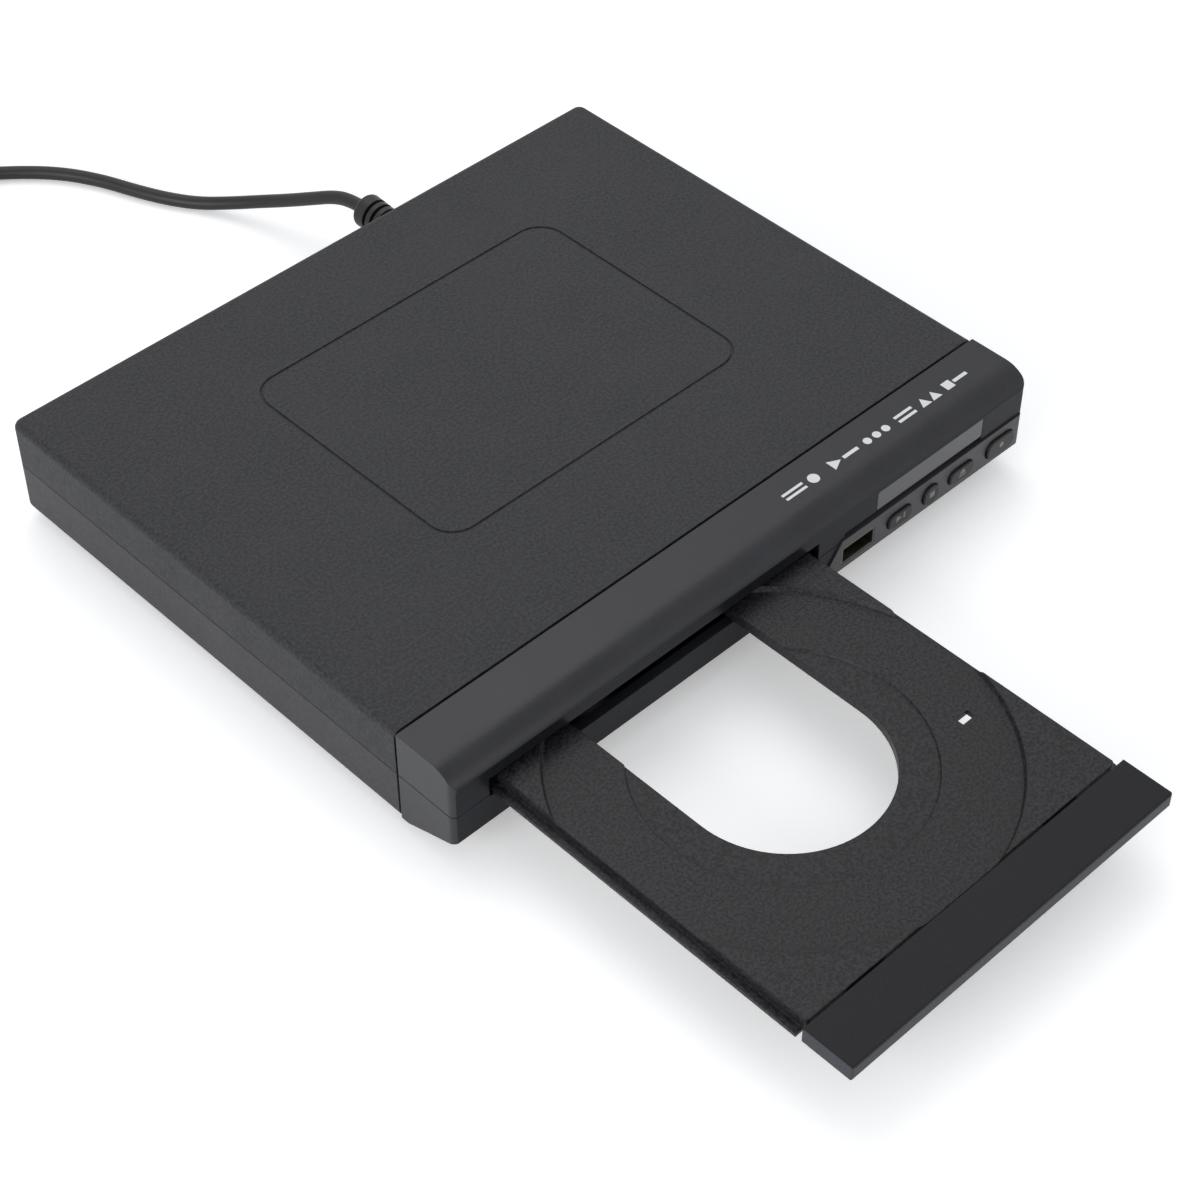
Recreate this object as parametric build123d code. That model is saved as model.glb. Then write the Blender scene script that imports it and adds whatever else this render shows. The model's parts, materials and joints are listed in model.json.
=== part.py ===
"""Disc player with a sliding tray, shown with the tray run out.

Working frame: X to the right seen from the front, Y to the back with 0 at the seam
between the front bezel and the shells, Z up with 0 at the underside of the shells.
save() moves each piece into the part's own frame, whose origin is on the table under
the middle of the player.
"""
from build123d import *
import math
import os

# ---------------------------------------------------------------- driving dimensions
# Case
body_w = 220.0
shell_d = 163.0
body_h = 32.0
wall = 2.0
split_z = 16.8
parting_gap = 0.3
seam_gap = 0.8
edge_r = 2.2
corner_r = 3.0
lip_h = 1.6
lip_t = 0.8
fit_gap = 0.3
touch_gap = 0.1
# Lid groove
groove_cx = 2.5
groove_cy = 84.0
groove_w = 114.0
groove_l = 86.0
groove_r = 9.0
groove_t = 0.9
groove_depth = 0.4
# Front nose
nose_d = 21.5
nose_flat = 13.0
ridge_z = 27.0
ridge_step = 0.4
chin_z = 6.8
chin_mid_y = 11.5
chin_mid_z = 3.4
chin_back_y = 3.0
front_corner_r = 2.4
skirt_t = 3.0
tab_w = 14.0
tab_t = 1.6
tab_l = 7.0
tab_inset = 40.0
# Tray and its slot
side_margin = 12.2
deck_z = 21.3
deck_w = 113.8
flange_out = 2.5
flange_t = 1.2
tray_h = 4.9
tray_front_y = -125.4
tray_rear_y = 21.0
deck_underside = 3.1
rib_t = 1.5
disc_dx = -2.1
disc_y = -66.4
recess_r = 61.1
recess_depth = 1.4
small_recess_r = 40.0
small_recess_depth = 0.6
recess_bevel = 0.7
hole_r = 29.3
hole_rear_y = 5.0
peep_x = 5.4
peep_y = -88.5
peep_w = 4.6
peep_d = 2.6
tray_travel = 120.0
slot_side_gap = 1.4
slot_top_gap = 1.3
slot_low_gap = 0.4
door_gap = 0.8
door_d = 15.6
door_over = 2.3
door_edge_r = 0.7
clip_w = 12.0
clip_l = 5.0
clip_t = 1.8
clip_dx = 36.0
# Loader
rail_gap = 0.4
rail_wall = 2.0
rail_lip = 1.9
loader_y0 = 1.5
loader_y1 = 143.0
loader_z0 = 2.8
loader_base_t = 1.5
loader_top_z = 24.2
front_beam_y1 = 32.5
rear_beam_y = 130.0
rear_beam_h = 5.0
ear_w = 8.0
ear_l = 9.0
ear_z = 9.0
ear_t = 2.0
ear_y = (9.0, 135.0)
# Loading drive
rack_module = 1.0
rack_teeth_pinion = 14
rack_depth_z = 1.5
train_module = 0.8
train_wheel = 32
train_pinion = 12
gear_backlash = 0.16
gear_face = 2.4
load_gear_y = 16.0
rack_back = 3.6
load_gear_z = 11.0
axle_r = 1.5
axle_gap = 0.05
pulley_r = 8.0
pulley_h = 2.2
motor_pulley_r = 3.0
motor_y = 16.0
belt_span = 30.0
belt_t = 1.1
belt_gap = 0.08
motor_r = 10.5
motor_h = 10.6
# Traverse deck
pivot_y = 122.0
pivot_z = 10.6
pivot_r = 2.0
pivot_len = 3.2
traverse_tilt = 4.9
traverse_w = 74.0
traverse_y0 = 38.5
traverse_y1 = 128.0
traverse_t = 1.5
traverse_z = 9.8
sled_bay_w = 52.0
sled_bay_y0 = 68.0
sled_bay_y1 = 121.6
rod_r = 1.5
rod_dx = 21.0
rod_z = 13.0
rod_block = 4.0
rod_block_l = 3.5
spindle_motor_r = 11.5
spindle_motor_h = 4.6
turntable_r = 13.0
disc_lift_z = 20.7
turntable_t = 2.4
spigot_r = 7.4
spigot_h = 1.8
spindle_r = 1.0
# Optical pickup
sled_w = 48.0
sled_l = 18.0
sled_z0 = 7.6
sled_h = 8.4
sled_home = 24.0
sled_travel = 34.0
lens_r = 2.2
lens_housing_r = 5.0
lens_top = 18.2
feed_module = 0.6
feed_pinion = 11
feed_wheel = 24
feed_small = 13
feed_face = 1.8
feed_motor_r = 5.5
feed_motor_h = 2.4
feed_axle_r = 0.9
rack_web = 2.2
# Front guide of the traverse deck
guide_w = 12.0
guide_y1 = 36.4
guide_top_z = 14.8
peg_r = 1.2
peg_rise = 0.4
peg_gap = 0.3
peg_reach = 4.3
peg_root = 1.8
# Clamp
bridge_z = 24.2
bridge_boss_r = 2.6
bridge_t = 1.4
bridge_d = 34.0
puck_r = 14.0
puck_hub_r = 11.0
puck_low_z = 22.0
puck_flange_t = 1.2
puck_gap = 0.35
# Front electronics
window_from_panel = 22.5
window_end = 18.5
window_z0 = 19.3
window_z1 = 26.1
window_t = 1.2
window_ledge = 1.0
window_gap = 0.12
brow_z = 19.2
brow_depth = 1.2
brow_gap = 1.0
brow_narrow_z = 18.0
panel_slot_gap = 1.1
panel_slant = 8.5
panel_z0 = 6.4
panel_z1 = 17.3
panel_out = 0.5
panel_t = 2.0
panel_end_gap = 0.4
key_sizes = (("play_key", 10.0, 5.0), ("stop_key", 6.6, 6.6), ("eject_key", 10.4, 5.0),
             ("standby_key", 12.0, 6.4))
panel_gaps = (8.55, 5.45, 0.0, 4.6, 1.0, 1.5)
key_z = 11.3
key_travel = 0.6
key_gap = 0.25
key_out = 0.9
key_flange = 0.9
key_flange_t = 1.0
key_stem_r = 1.6
key_edge_r = 0.5
usb_z = 11.3
usb_w = 13.1
usb_h = 5.7
usb_l = 14.0
usb_wall = 0.4
usb_board_y0 = -13.6
usb_board_y1 = -1.5
usb_board_half_w = 9.0
usb_board_gap = 1.4
front_post_r = 1.9
front_post_gap = 0.3
end_key_gap = 0.5
usb_tongue_w = 11.1
usb_tongue_t = 1.8
usb_tongue_back = 1.6
chip_h = 2.2
front_board_y = -11.6
front_board_left = 1.6
front_board_right = 0.5
front_board_z0 = 6.6
front_board_z1 = 26.4
board_t = 1.6
switch_w = 6.0
switch_h = 3.4
plunger_r = 1.7
# Boards in the right-hand bay
bay_gap = 0.4
bay_margin = 9.0
bay_plan_w = 66.0
main_y0 = 5.0
main_plan_l = 75.0
power_l = 60.0
power_back_gap = 15.0
board_gap_y = 6.0
board_z = 5.6
board_post_r = 3.0
board_inset = 5.0
screw_head_r = 2.6
screw_head_h = 1.5
screw_r = 1.2
bore_gap = 0.05
hole_gap = 0.3
# Jacks at the back
jack_pitch = 18.0
jack_margin = 22.0
jack_z = 10.6
jack_r = 4.15
jack_bore_r = 3.4
jack_pin_r = 1.6
jack_out = 8.0
jack_body = 10.0
jack_body_l = 11.0
jack_board_t = 1.6
jack_collar_r = 5.0
# Feet, posts and screws
foot_r = 7.0
foot_h = 3.5
foot_recess = 0.5
foot_inset_x = 22.0
foot_inset_y = 14.0
post_r = 4.0
post_inset = 6.6
case_screw_front = 30.0
case_screw_back = 13.0
counterbore_h = 4.2
# Vents
vent_w = 2.4
low_vents = 9
low_vent_rows = 2
low_vent_l = 20.0
low_vent_pitch_y = 26.0
low_vent_left = 13.0
low_vent_right = 2.6
low_vent_front = 14.0
back_vents = 8
back_vent_z0 = 6.5
back_vent_h = 7.0
back_vent_from_cord = 20.5
back_vent_end = 15.2
# Mains cord
cord_r = 2.2
boot_x = 35.5
boot_z = 18.4
boot_flange_r = 5.2
boot_root_r = 4.6
boot_tip_r = 5.6
boot_tip_round = 1.4
boot_neck_r = 3.4
boot_flange_t = 2.2
boot_l = 19.0
boot_ribs = 4
boot_rib_pitch = 2.9
boot_rib_gap = 1.2
coil_centre = (-79.0, 303.0)
coil_start_deg = 57.0
coil_outer_r = 33.4
coil_pitch = 4.9
coil_layer_turns = 3.75
coil_lift = 1.2
coil_end_run = 4.4
cord_last_run = 14.0
tie_t = 0.8
tie_w = 6.0
tie_gap = 0.3
tie_deg = 200.0
plug_l = 24.0
plug_w = 17.0
plug_h = 11.0
plug_neck_r = 3.6
plug_neck_l = 9.0
blade_w = 6.3
blade_t = 1.5
blade_l = 16.0
blade_pitch = 12.7

# ---------------------------------------------------------------- derived places
half_w = body_w / 2
seam_y = seam_gap / 2
table_z = -foot_h
flange_w = deck_w + 2 * flange_out
door_w = deck_w + 2 * door_over
slot_w = door_w + 2 * slot_side_gap
tray_cx = side_margin + slot_w / 2 - half_w
disc_x = tray_cx + disc_dx
tray_low_z = deck_z - tray_h
underside_z = deck_z - deck_underside
slot_z0 = tray_low_z - slot_low_gap
slot_z1 = deck_z + slot_top_gap
door_y1 = tray_front_y - door_gap
door_y0 = door_y1 - door_d
spindle_y = disc_y + tray_travel
rail_x = flange_w / 2 + rail_gap
face_y = -(nose_d - ridge_step)
panel_y = face_y - panel_out
back_in_y = shell_d - wall
jack_end_y = shell_d + jack_out
jack_x0 = jack_margin - half_w
boot_end_y = shell_d + boot_l
panel_x0 = tray_cx + slot_w / 2 + panel_slot_gap
panel_x1 = half_w - panel_end_gap
window_x0 = panel_x0 + window_from_panel
window_x1 = half_w - window_end
brow_x0 = panel_x0 + panel_slant + brow_gap
bay_x0 = tray_cx + rail_x + rail_wall + ear_w + bay_gap
bay_x1 = half_w - wall - bay_margin
power_y1 = back_in_y - power_back_gap
power_y0 = power_y1 - power_l
main_y1 = power_y0 - board_gap_y
row_shift = Pos(0, -(door_y0 + boot_end_y) / 2, foot_h)
pieces = {}


# ---------------------------------------------------------------- helpers
def save(name, *solids):
    """Keep the solids of one node, moved into the part's own frame."""
    flat = []
    for item in solids:
        flat.extend(item.solids())
    moved = [row_shift * solid for solid in flat]
    pieces[name] = moved[0] if len(moved) == 1 else Compound(children=moved)


def block(x0, x1, y0, y1, z0, z1):
    """Box between two corners."""
    centre = Pos((x0 + x1) / 2, (y0 + y1) / 2, (z0 + z1) / 2)
    return centre * Box(x1 - x0, y1 - y0, z1 - z0)


def post(x, y, z0, z1, radius):
    """Upright cylinder."""
    return Pos(x, y, (z0 + z1) / 2) * Cylinder(radius, z1 - z0)


def rod_y(x, z, y0, y1, radius):
    """Cylinder along Y."""
    return Pos(x, (y0 + y1) / 2, z) * Rot(90, 0, 0) * Cylinder(radius, y1 - y0)


def rod_x(y, z, x0, x1, radius):
    """Cylinder along X."""
    return Pos((x0 + x1) / 2, y, z) * Rot(0, 90, 0) * Cylinder(radius, x1 - x0)


def upright_edges(shape, radius):
    """Round the upright edges of a prism."""
    return fillet(shape.edges().filter_by(Axis.Z), radius)


def bar_y(width, height, depth, radius):
    """Rounded bar in XZ, pushed along Y from 0 to depth."""
    outline = RectangleRounded(width, height, radius)
    return Pos(0, depth, 0) * extrude(Plane.XZ * outline, depth)


def teeth_outline(module, teeth, start_deg=0.0):
    """Involute gear outline with a tooth centred on start_deg."""
    pressure = math.radians(20)
    pitch_r = module * teeth / 2
    base_r = pitch_r * math.cos(pressure)
    root_r = pitch_r - 1.25 * module
    tip_r = pitch_r + module * 0.95
    half_tooth = (math.pi * module / 2 - gear_backlash) / 2 / pitch_r
    involute = math.tan(pressure) - pressure

    def half_angle(radius):
        roll = math.acos(min(1.0, base_r / radius))
        return half_tooth + involute - (math.tan(roll) - roll)

    steps = [root_r, max(base_r, root_r + 0.1), pitch_r, tip_r]
    points = []
    for tooth in range(teeth):
        middle = math.radians(start_deg) + 2 * math.pi * tooth / teeth
        for radius in steps:
            angle = middle - half_angle(radius)
            points.append((radius * math.cos(angle), radius * math.sin(angle)))
        for radius in reversed(steps):
            angle = middle + half_angle(radius)
            points.append((radius * math.cos(angle), radius * math.sin(angle)))
    return make_face(Polyline(*points, close=True))


def gear(module, teeth, height, start_deg=0.0):
    """Spur gear standing on Z = 0."""
    return extrude(teeth_outline(module, teeth, start_deg), height)


def rack_outline(module, count):
    """Rack outline on X: teeth up from -1.25 module, first gap centred on X = 0."""
    pitch = math.pi * module
    slope = math.tan(math.radians(20))
    half_top = pitch / 4 - gear_backlash / 2 - 0.95 * module * slope
    half_root = pitch / 4 - gear_backlash / 2 + 1.25 * module * slope
    points = [(-pitch / 2, -1.25 * module)]
    for tooth in range(count):
        middle = pitch * (tooth + 0.5)
        points.append((middle - half_root, -1.25 * module))
        points.append((middle - half_top, 0.95 * module))
        points.append((middle + half_top, 0.95 * module))
        points.append((middle + half_root, -1.25 * module))
    points.append((pitch * (count + 0.5), -1.25 * module))
    return points


def countersunk(x, y, head_z, end_z):
    """Pan-head screw pointing down from head_z to end_z, or up when end_z is higher."""
    rise = screw_head_h if end_z < head_z else -screw_head_h
    low_head, high_head = sorted((head_z, head_z + rise))
    low_shank, high_shank = sorted((head_z, end_z))
    head = post(x, y, low_head, high_head, screw_head_r)
    head = fillet(head.edges().group_by(Axis.Z)[-1 if rise > 0 else 0], 0.5)
    cross_z = high_head if rise > 0 else low_head
    cross = block(x - 1.3, x + 1.3, y - 0.3, y + 0.3, cross_z - 0.8, cross_z + 0.8)
    cross += block(x - 0.3, x + 0.3, y - 1.3, y + 1.3, cross_z - 0.8, cross_z + 0.8)
    return head + post(x, y, low_shank, high_shank, screw_r) - cross


# ---------------------------------------------------------------- shells
def shell_block(z0, z1, inset):
    """Plan of the shells, open at the front, drawn in by inset."""
    front = seam_y - (1.0 if inset else 0.0)
    body = block(-half_w + inset, half_w - inset, front, shell_d - inset, z0, z1)
    back_edges = body.edges().filter_by(Axis.Z).group_by(Axis.Y)[-1]
    return fillet(back_edges, max(corner_r - inset, 0.6))


def make_bottom_case():
    rim_z = split_z - parting_gap / 2
    body = shell_block(0, rim_z, 0)
    low_edges = body.faces().sort_by(Axis.Z)[0].edges().filter_by(
        lambda edge: edge.center().Y > seam_y + 1)
    body = fillet(low_edges, edge_r)
    body -= shell_block(wall, rim_z + 1, wall)
    lip = shell_block(rim_z - 2, rim_z + lip_h, wall - lip_t) - shell_block(
        rim_z - 3, rim_z + lip_h + 1, wall)
    lip -= block(-half_w, half_w, seam_y - 2, seam_y + 0.6, 0, body_h)
    body += lip
    for x, y in case_posts():
        body += post(x, y, wall / 2, split_z - fit_gap, post_r)
        body -= post(x, y, -1, counterbore_h, screw_head_r + hole_gap)
        body -= post(x, y, 0, split_z + 1, screw_r + hole_gap)
    for x, y in ear_posts():
        body += post(x, y, wall / 2, ear_z, board_post_r)
        body -= post(x, y, wall + 1, ear_z + 1, screw_r + bore_gap)
    for x, y in board_posts():
        body += post(x, y, wall / 2, board_z, board_post_r)
        body -= post(x, y, wall + 0.4, board_z + 1, screw_r + bore_gap)
    for x, y in foot_places():
        body -= post(x, y, -1, foot_recess, foot_r + touch_gap)
    for x in jack_places():
        body -= rod_y(x, jack_z, back_in_y - 5, shell_d + 5, jack_collar_r + touch_gap)
    for x in (jack_places()[0] + jack_pitch / 2, jack_places()[1] + jack_pitch / 2):
        body += post(x, back_in_y - 6, wall / 2, jack_z - jack_body / 2 - jack_board_t, 2.0)
    body -= rod_y(boot_x, boot_z, back_in_y - 3, shell_d + 3, boot_neck_r + touch_gap)
    for x in slot_row(bay_x0 + low_vent_left, bay_x1 - low_vent_right, low_vents):
        for row in range(low_vent_rows):
            y = power_y0 + low_vent_front + row * low_vent_pitch_y
            body -= block(x, x + vent_w, y, y + low_vent_l, -1, wall + 1)
    for x in slot_row(boot_x + back_vent_from_cord, half_w - back_vent_end, back_vents):
        body -= block(x, x + vent_w, back_in_y - 1, shell_d + 1, back_vent_z0,
                      back_vent_z0 + back_vent_h)
    return body


def slot_row(x0, x1, count):
    """Left edges of the vent slots that share out the span from x0 to x1."""
    pitch = (x1 - x0 - vent_w) / (count - 1)
    return [x0 + pitch * index for index in range(count)]


def make_top_cover():
    rim_z = split_z + parting_gap / 2
    body = shell_block(rim_z, body_h, 0)
    top_edges = body.faces().sort_by(Axis.Z)[-1].edges().filter_by(
        lambda edge: edge.center().Y > seam_y + 1)
    body = fillet(top_edges, edge_r)
    body -= shell_block(rim_z - 1, body_h - wall, wall)
    notch = shell_block(rim_z - 1, rim_z + lip_h, wall - lip_t - touch_gap)
    body -= notch
    outline = RectangleRounded(groove_w, groove_l, groove_r)
    outline -= RectangleRounded(groove_w - 2 * groove_t, groove_l - 2 * groove_t,
                                groove_r - groove_t)
    body -= Pos(groove_cx, groove_cy, body_h - groove_depth) * extrude(outline, 2)
    for x, y in case_posts():
        body += post(x, y, split_z + fit_gap, body_h - wall / 2, post_r)
        body -= post(x, y, split_z - 1, body_h - wall - 2, screw_r + bore_gap)
    body -= rod_y(boot_x, boot_z, back_in_y - 3, shell_d + 3, boot_neck_r + touch_gap)
    return body


def case_posts():
    ys = (case_screw_front, shell_d - case_screw_back)
    return [(side * (half_w - post_inset), y) for side in (-1, 1) for y in ys]


def ear_posts():
    reach = rail_x + rail_wall + ear_w / 2
    return [(tray_cx + side * reach, y) for side in (-1, 1) for y in ear_y]


def board_posts():
    places = []
    for y0, y1 in ((main_y0, main_y1), (power_y0, power_y1)):
        for x in (bay_x0 + board_inset, bay_x1 - board_inset - 2):
            for y in (y0 + board_inset, y1 - board_inset):
                places.append((x, y))
    return places


def foot_places():
    ys = (foot_inset_y, shell_d - foot_inset_y)
    return [(side * (half_w - foot_inset_x), y) for side in (-1, 1) for y in ys]


def tab_places():
    return (tab_inset - half_w, 0, half_w - tab_inset)


def jack_places():
    return [jack_x0 + jack_pitch * index for index in range(3)]


# ---------------------------------------------------------------- front bezel
def nose_face(inset):
    """Side profile of the whole nose in YZ, drawn in by inset."""
    reach = nose_d - nose_flat
    drop = body_h - ridge_z
    nose_r = (reach ** 2 + drop ** 2) / (2 * drop)
    swing = math.atan2(reach, nose_r - drop)
    start = (-nose_flat, body_h)
    middle = (-nose_flat - nose_r * math.sin(swing / 2),
              body_h - nose_r * (1 - math.cos(swing / 2)))
    ridge = (-nose_d, ridge_z)
    outline = [
        Line((-seam_y, body_h), start),
        ThreePointArc(start, middle, ridge),
        Polyline(ridge, (-nose_d, ridge_z - 0.5), (face_y, ridge_z - 0.9),
                 (face_y, chin_z), (-chin_mid_y, chin_mid_z), (-chin_back_y, 0.3),
                 (-seam_y, 0.3), (-seam_y, body_h)),
    ]
    face = make_face(outline)
    if inset:
        face = offset(face, -inset, kind=Kind.INTERSECTION)
        back = Pos(-seam_y, body_h / 2) * Rectangle(2 * inset + 2, body_h - 2 * inset - 1)
        face += back
    return face


def nose_solid(inset):
    """The nose as a bar across the player, its outer upright corners rounded."""
    body = extrude(Plane.YZ * nose_face(inset), half_w - inset, both=True)
    if inset:
        return body
    plan = block(-half_w, half_w, -nose_d, 2 * nose_d, -1, body_h + 1)
    corners = plan.edges().filter_by(Axis.Z).group_by(Axis.Y)[0]
    return body & fillet(corners, front_corner_r)


def slot_cut():
    return block(tray_cx - slot_w / 2, tray_cx + slot_w / 2, -nose_d - 5, -nose_d + 8,
                 slot_z0, slot_z1)


def brow_cut():
    """Dark recess between the window and the button panel."""
    depth = face_y + brow_depth
    low = split_z - 1
    cut = block(brow_x0, window_x1, face_y - 3, depth, low, brow_z)
    return cut + block(window_x1 - 1, half_w - 4, face_y - 3, depth, low, brow_narrow_z)


def make_upper_bezel():
    low = split_z + parting_gap / 2
    body = nose_solid(0) & block(-half_w - 1, half_w + 1, -nose_d - 1, 1, low, body_h + 1)
    body -= nose_solid(wall)
    body -= slot_cut()
    body -= brow_cut()
    body -= panel_pocket()
    body -= block(window_x0, window_x1, face_y - 2, face_y + window_t + window_gap,
                  window_z0, window_z1)
    body -= block(window_x0 + window_ledge, window_x1 - window_ledge, face_y - 2,
                  face_y + 6, window_z0 + window_ledge, window_z1 - window_ledge)
    for x in tab_places():
        top = body_h - wall - touch_gap
        body += block(x - tab_w / 2, x + tab_w / 2, -4, tab_l, top - tab_t, top)
        body += block(x - tab_w / 2, x + tab_w / 2, -4, -seam_y, top - tab_t, top + 0.6)
    return body


def panel_face(grow):
    """Front outline of the button panel in XZ, grown by its fitting gap."""
    right = panel_x1 + grow
    return make_face(Polyline(
        (panel_x0 - grow, panel_z0 - grow), (right, panel_z0 - grow),
        (right, panel_z1 + grow), (panel_x0 + panel_slant - grow, panel_z1 + grow),
        (panel_x0 - grow, panel_z0 - grow)))


def panel_pocket():
    """Shallow seat that holds the button panel in both halves of the bezel."""
    panel_back = face_y + panel_t - panel_out
    return Pos(0, panel_back, 0) * extrude(Plane.XZ * panel_face(touch_gap), 6)


def panel_places():
    """Centre X of the USB socket and of each key.

    The panel's spare width is shared out between them in the ratio of panel_gaps, and the
    gaps that hold a post of the board, or the end wall, have that room besides.
    """
    post_room = 2 * (front_post_r + key_gap + front_post_gap)
    end_room = wall + end_key_gap - panel_end_gap
    rooms = (0, 0, post_room, 0, post_room, end_room)
    widths = [usb_w] + [width for name, width, height in key_sizes]
    spare = panel_x1 - panel_x0 - sum(widths) - sum(rooms)
    stretch = spare / sum(panel_gaps)
    places = []
    x = panel_x0
    for width, room, gap in zip(widths, rooms, panel_gaps):
        x += room + gap * stretch
        places.append(x + width / 2)
        x += width
    return places


def keys():
    """Name, centre X, width and height of each key cap."""
    return [(name, x, width, height) for (name, width, height), x in
            zip(key_sizes, panel_places()[1:])]


def make_lower_bezel():
    high = split_z - parting_gap / 2
    body = nose_solid(0) & block(-half_w - 1, half_w + 1, -nose_d - 1, 1, -1, high)
    hollow = nose_solid(wall) - block(-half_w, half_w, -nose_d - 1, face_y + skirt_t, 0, high)
    body -= hollow
    body -= slot_cut()
    body -= panel_pocket()
    for name, x, width, height in keys():
        hole = bar_y(width + 2 * key_gap, height + 2 * key_gap, 12,
                     min(width, height) / 2 + key_gap - 0.05)
        body -= Pos(x, face_y - 4, key_z) * hole
    body -= block(usb_x - usb_w / 2 - touch_gap, usb_x + usb_w / 2 + touch_gap, face_y - 4,
                  face_y + 8, usb_z - usb_h / 2 - touch_gap, usb_z + usb_h / 2 + touch_gap)
    for x in tab_places():
        low = wall + touch_gap
        body += block(x - tab_w / 2, x + tab_w / 2, -5, tab_l, low, low + tab_t)
    for x in front_posts():
        body += rod_y(x, key_z, face_y + skirt_t - 0.5, front_board_y, front_post_r)
        body -= rod_y(x, key_z, face_y + skirt_t + 1, front_board_y + 1,
                      screw_r + bore_gap)
    for x, y in usb_stand_places():
        body += post(x, y, wall, usb_z - usb_h / 2 - board_t, 2.0)
    return body


def front_posts():
    """Middle X of the gaps beside the stop key, where the board's posts stand."""
    spots = [(x - width / 2, x + width / 2) for name, x, width, height in keys()]
    return ((spots[0][1] + spots[1][0]) / 2, (spots[2][1] + spots[3][0]) / 2)


def usb_stand_places():
    return [(usb_x + side * 6, usb_board_y0 + 9) for side in (-1, 1)]


def make_button_panel():
    front = Plane.XZ * panel_face(0)
    body = Pos(0, panel_y + panel_t, 0) * extrude(front, panel_t)
    corner = body.edges().filter_by(Axis.Z).group_by(Axis.X)[-1].sort_by(Axis.Y)[0]
    body = fillet(corner, panel_t - 0.3)
    for name, x, width, height in keys():
        hole = bar_y(width + 2 * key_gap, height + 2 * key_gap, 12,
                     min(width, height) / 2 + key_gap - 0.05)
        body -= Pos(x, panel_y - 4, key_z) * hole
    body -= block(usb_x - usb_w / 2 - touch_gap, usb_x + usb_w / 2 + touch_gap, panel_y - 2,
                  panel_y + 8, usb_z - usb_h / 2 - touch_gap, usb_z + usb_h / 2 + touch_gap)
    return body


def make_window():
    body = block(window_x0 + window_gap, window_x1 - window_gap, face_y, face_y + window_t,
                 window_z0 + window_gap, window_z1 - window_gap)
    return fillet(body.edges().filter_by(Axis.Y), 0.6)


def make_key(x, width, height):
    """Key cap with its retaining flange and a stem that reaches for the switch."""
    radius = min(width, height) / 2 - 0.05
    wall_in = face_y + skirt_t
    cap_y0 = panel_y - key_out
    cap = bar_y(width, height, wall_in + key_gap - cap_y0, radius)
    cap = fillet(cap.faces().sort_by(Axis.Y)[0].edges(), key_edge_r)
    body = Pos(x, cap_y0, key_z) * cap
    flange = bar_y(width, height + key_flange, key_flange_t, radius)
    body += Pos(x, wall_in + key_gap, key_z + key_flange / 2) * flange
    stem_end = front_board_y - switch_h - key_travel - touch_gap
    return body + rod_y(x, key_z, wall_in + key_gap, stem_end, key_stem_r)


def front_board_x():
    """Left and right edge of the front board, just past the outer keys."""
    name, x, width, height = keys()[0]
    left = x - width / 2 - front_board_left
    name, x, width, height = keys()[-1]
    return left, x + width / 2 + front_board_right


def make_front_board():
    x0, x1 = front_board_x()
    body = block(x0, x1, front_board_y, front_board_y + board_t,
                 front_board_z0, front_board_z1)
    for x in front_posts():
        body -= rod_y(x, key_z, front_board_y - 1, front_board_y + 3, screw_r + hole_gap)
    return body


def make_switches():
    out = []
    for name, x, width, height in keys():
        body = block(x - switch_w / 2, x + switch_w / 2, front_board_y - switch_h + 1,
                     front_board_y, key_z - switch_w / 2, key_z + switch_w / 2)
        out.append(body + rod_y(x, key_z, front_board_y - switch_h, front_board_y - 1,
                                plunger_r))
    return out


def make_display():
    """Light-emitting digit block behind the window."""
    x0, x1 = window_x0 + 6, window_x1 - 9
    front = face_y + wall + fit_gap
    return block(x0, x1, front, front_board_y, window_z0 + 0.6, window_z1 - 0.4)


def make_receiver():
    """Infrared receiver with its domed face behind the window's right end."""
    x = window_x1 - 4.6
    z = (window_z0 + window_z1) / 2
    body = block(x - 2.8, x + 2.8, front_board_y - 4, front_board_y, z - 3, z + 3)
    return body + Pos(x, front_board_y - 4, z) * Sphere(1.9)


def make_usb_socket():
    front = panel_y + 0.1
    shell = block(usb_x - usb_w / 2, usb_x + usb_w / 2, front, front + usb_l,
                  usb_z - usb_h / 2, usb_z + usb_h / 2)
    bore = block(usb_x - usb_w / 2 + usb_wall, usb_x + usb_w / 2 - usb_wall, front - 1,
                 front + usb_l - 2, usb_z - usb_h / 2 + usb_wall, usb_z + usb_h / 2 - usb_wall)
    tongue_top = usb_z + usb_h / 2 - usb_wall - 0.5
    tongue = block(usb_x - usb_tongue_w / 2, usb_x + usb_tongue_w / 2,
                   front + usb_tongue_back, front + usb_l - 1, tongue_top - usb_tongue_t,
                   tongue_top)
    return shell - bore + tongue


def make_usb_board():
    top = usb_z - usb_h / 2
    right = front_board_x()[0] - usb_board_gap
    return block(usb_x - usb_board_half_w, right, usb_board_y0, usb_board_y1, top - board_t,
                 top)


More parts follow.
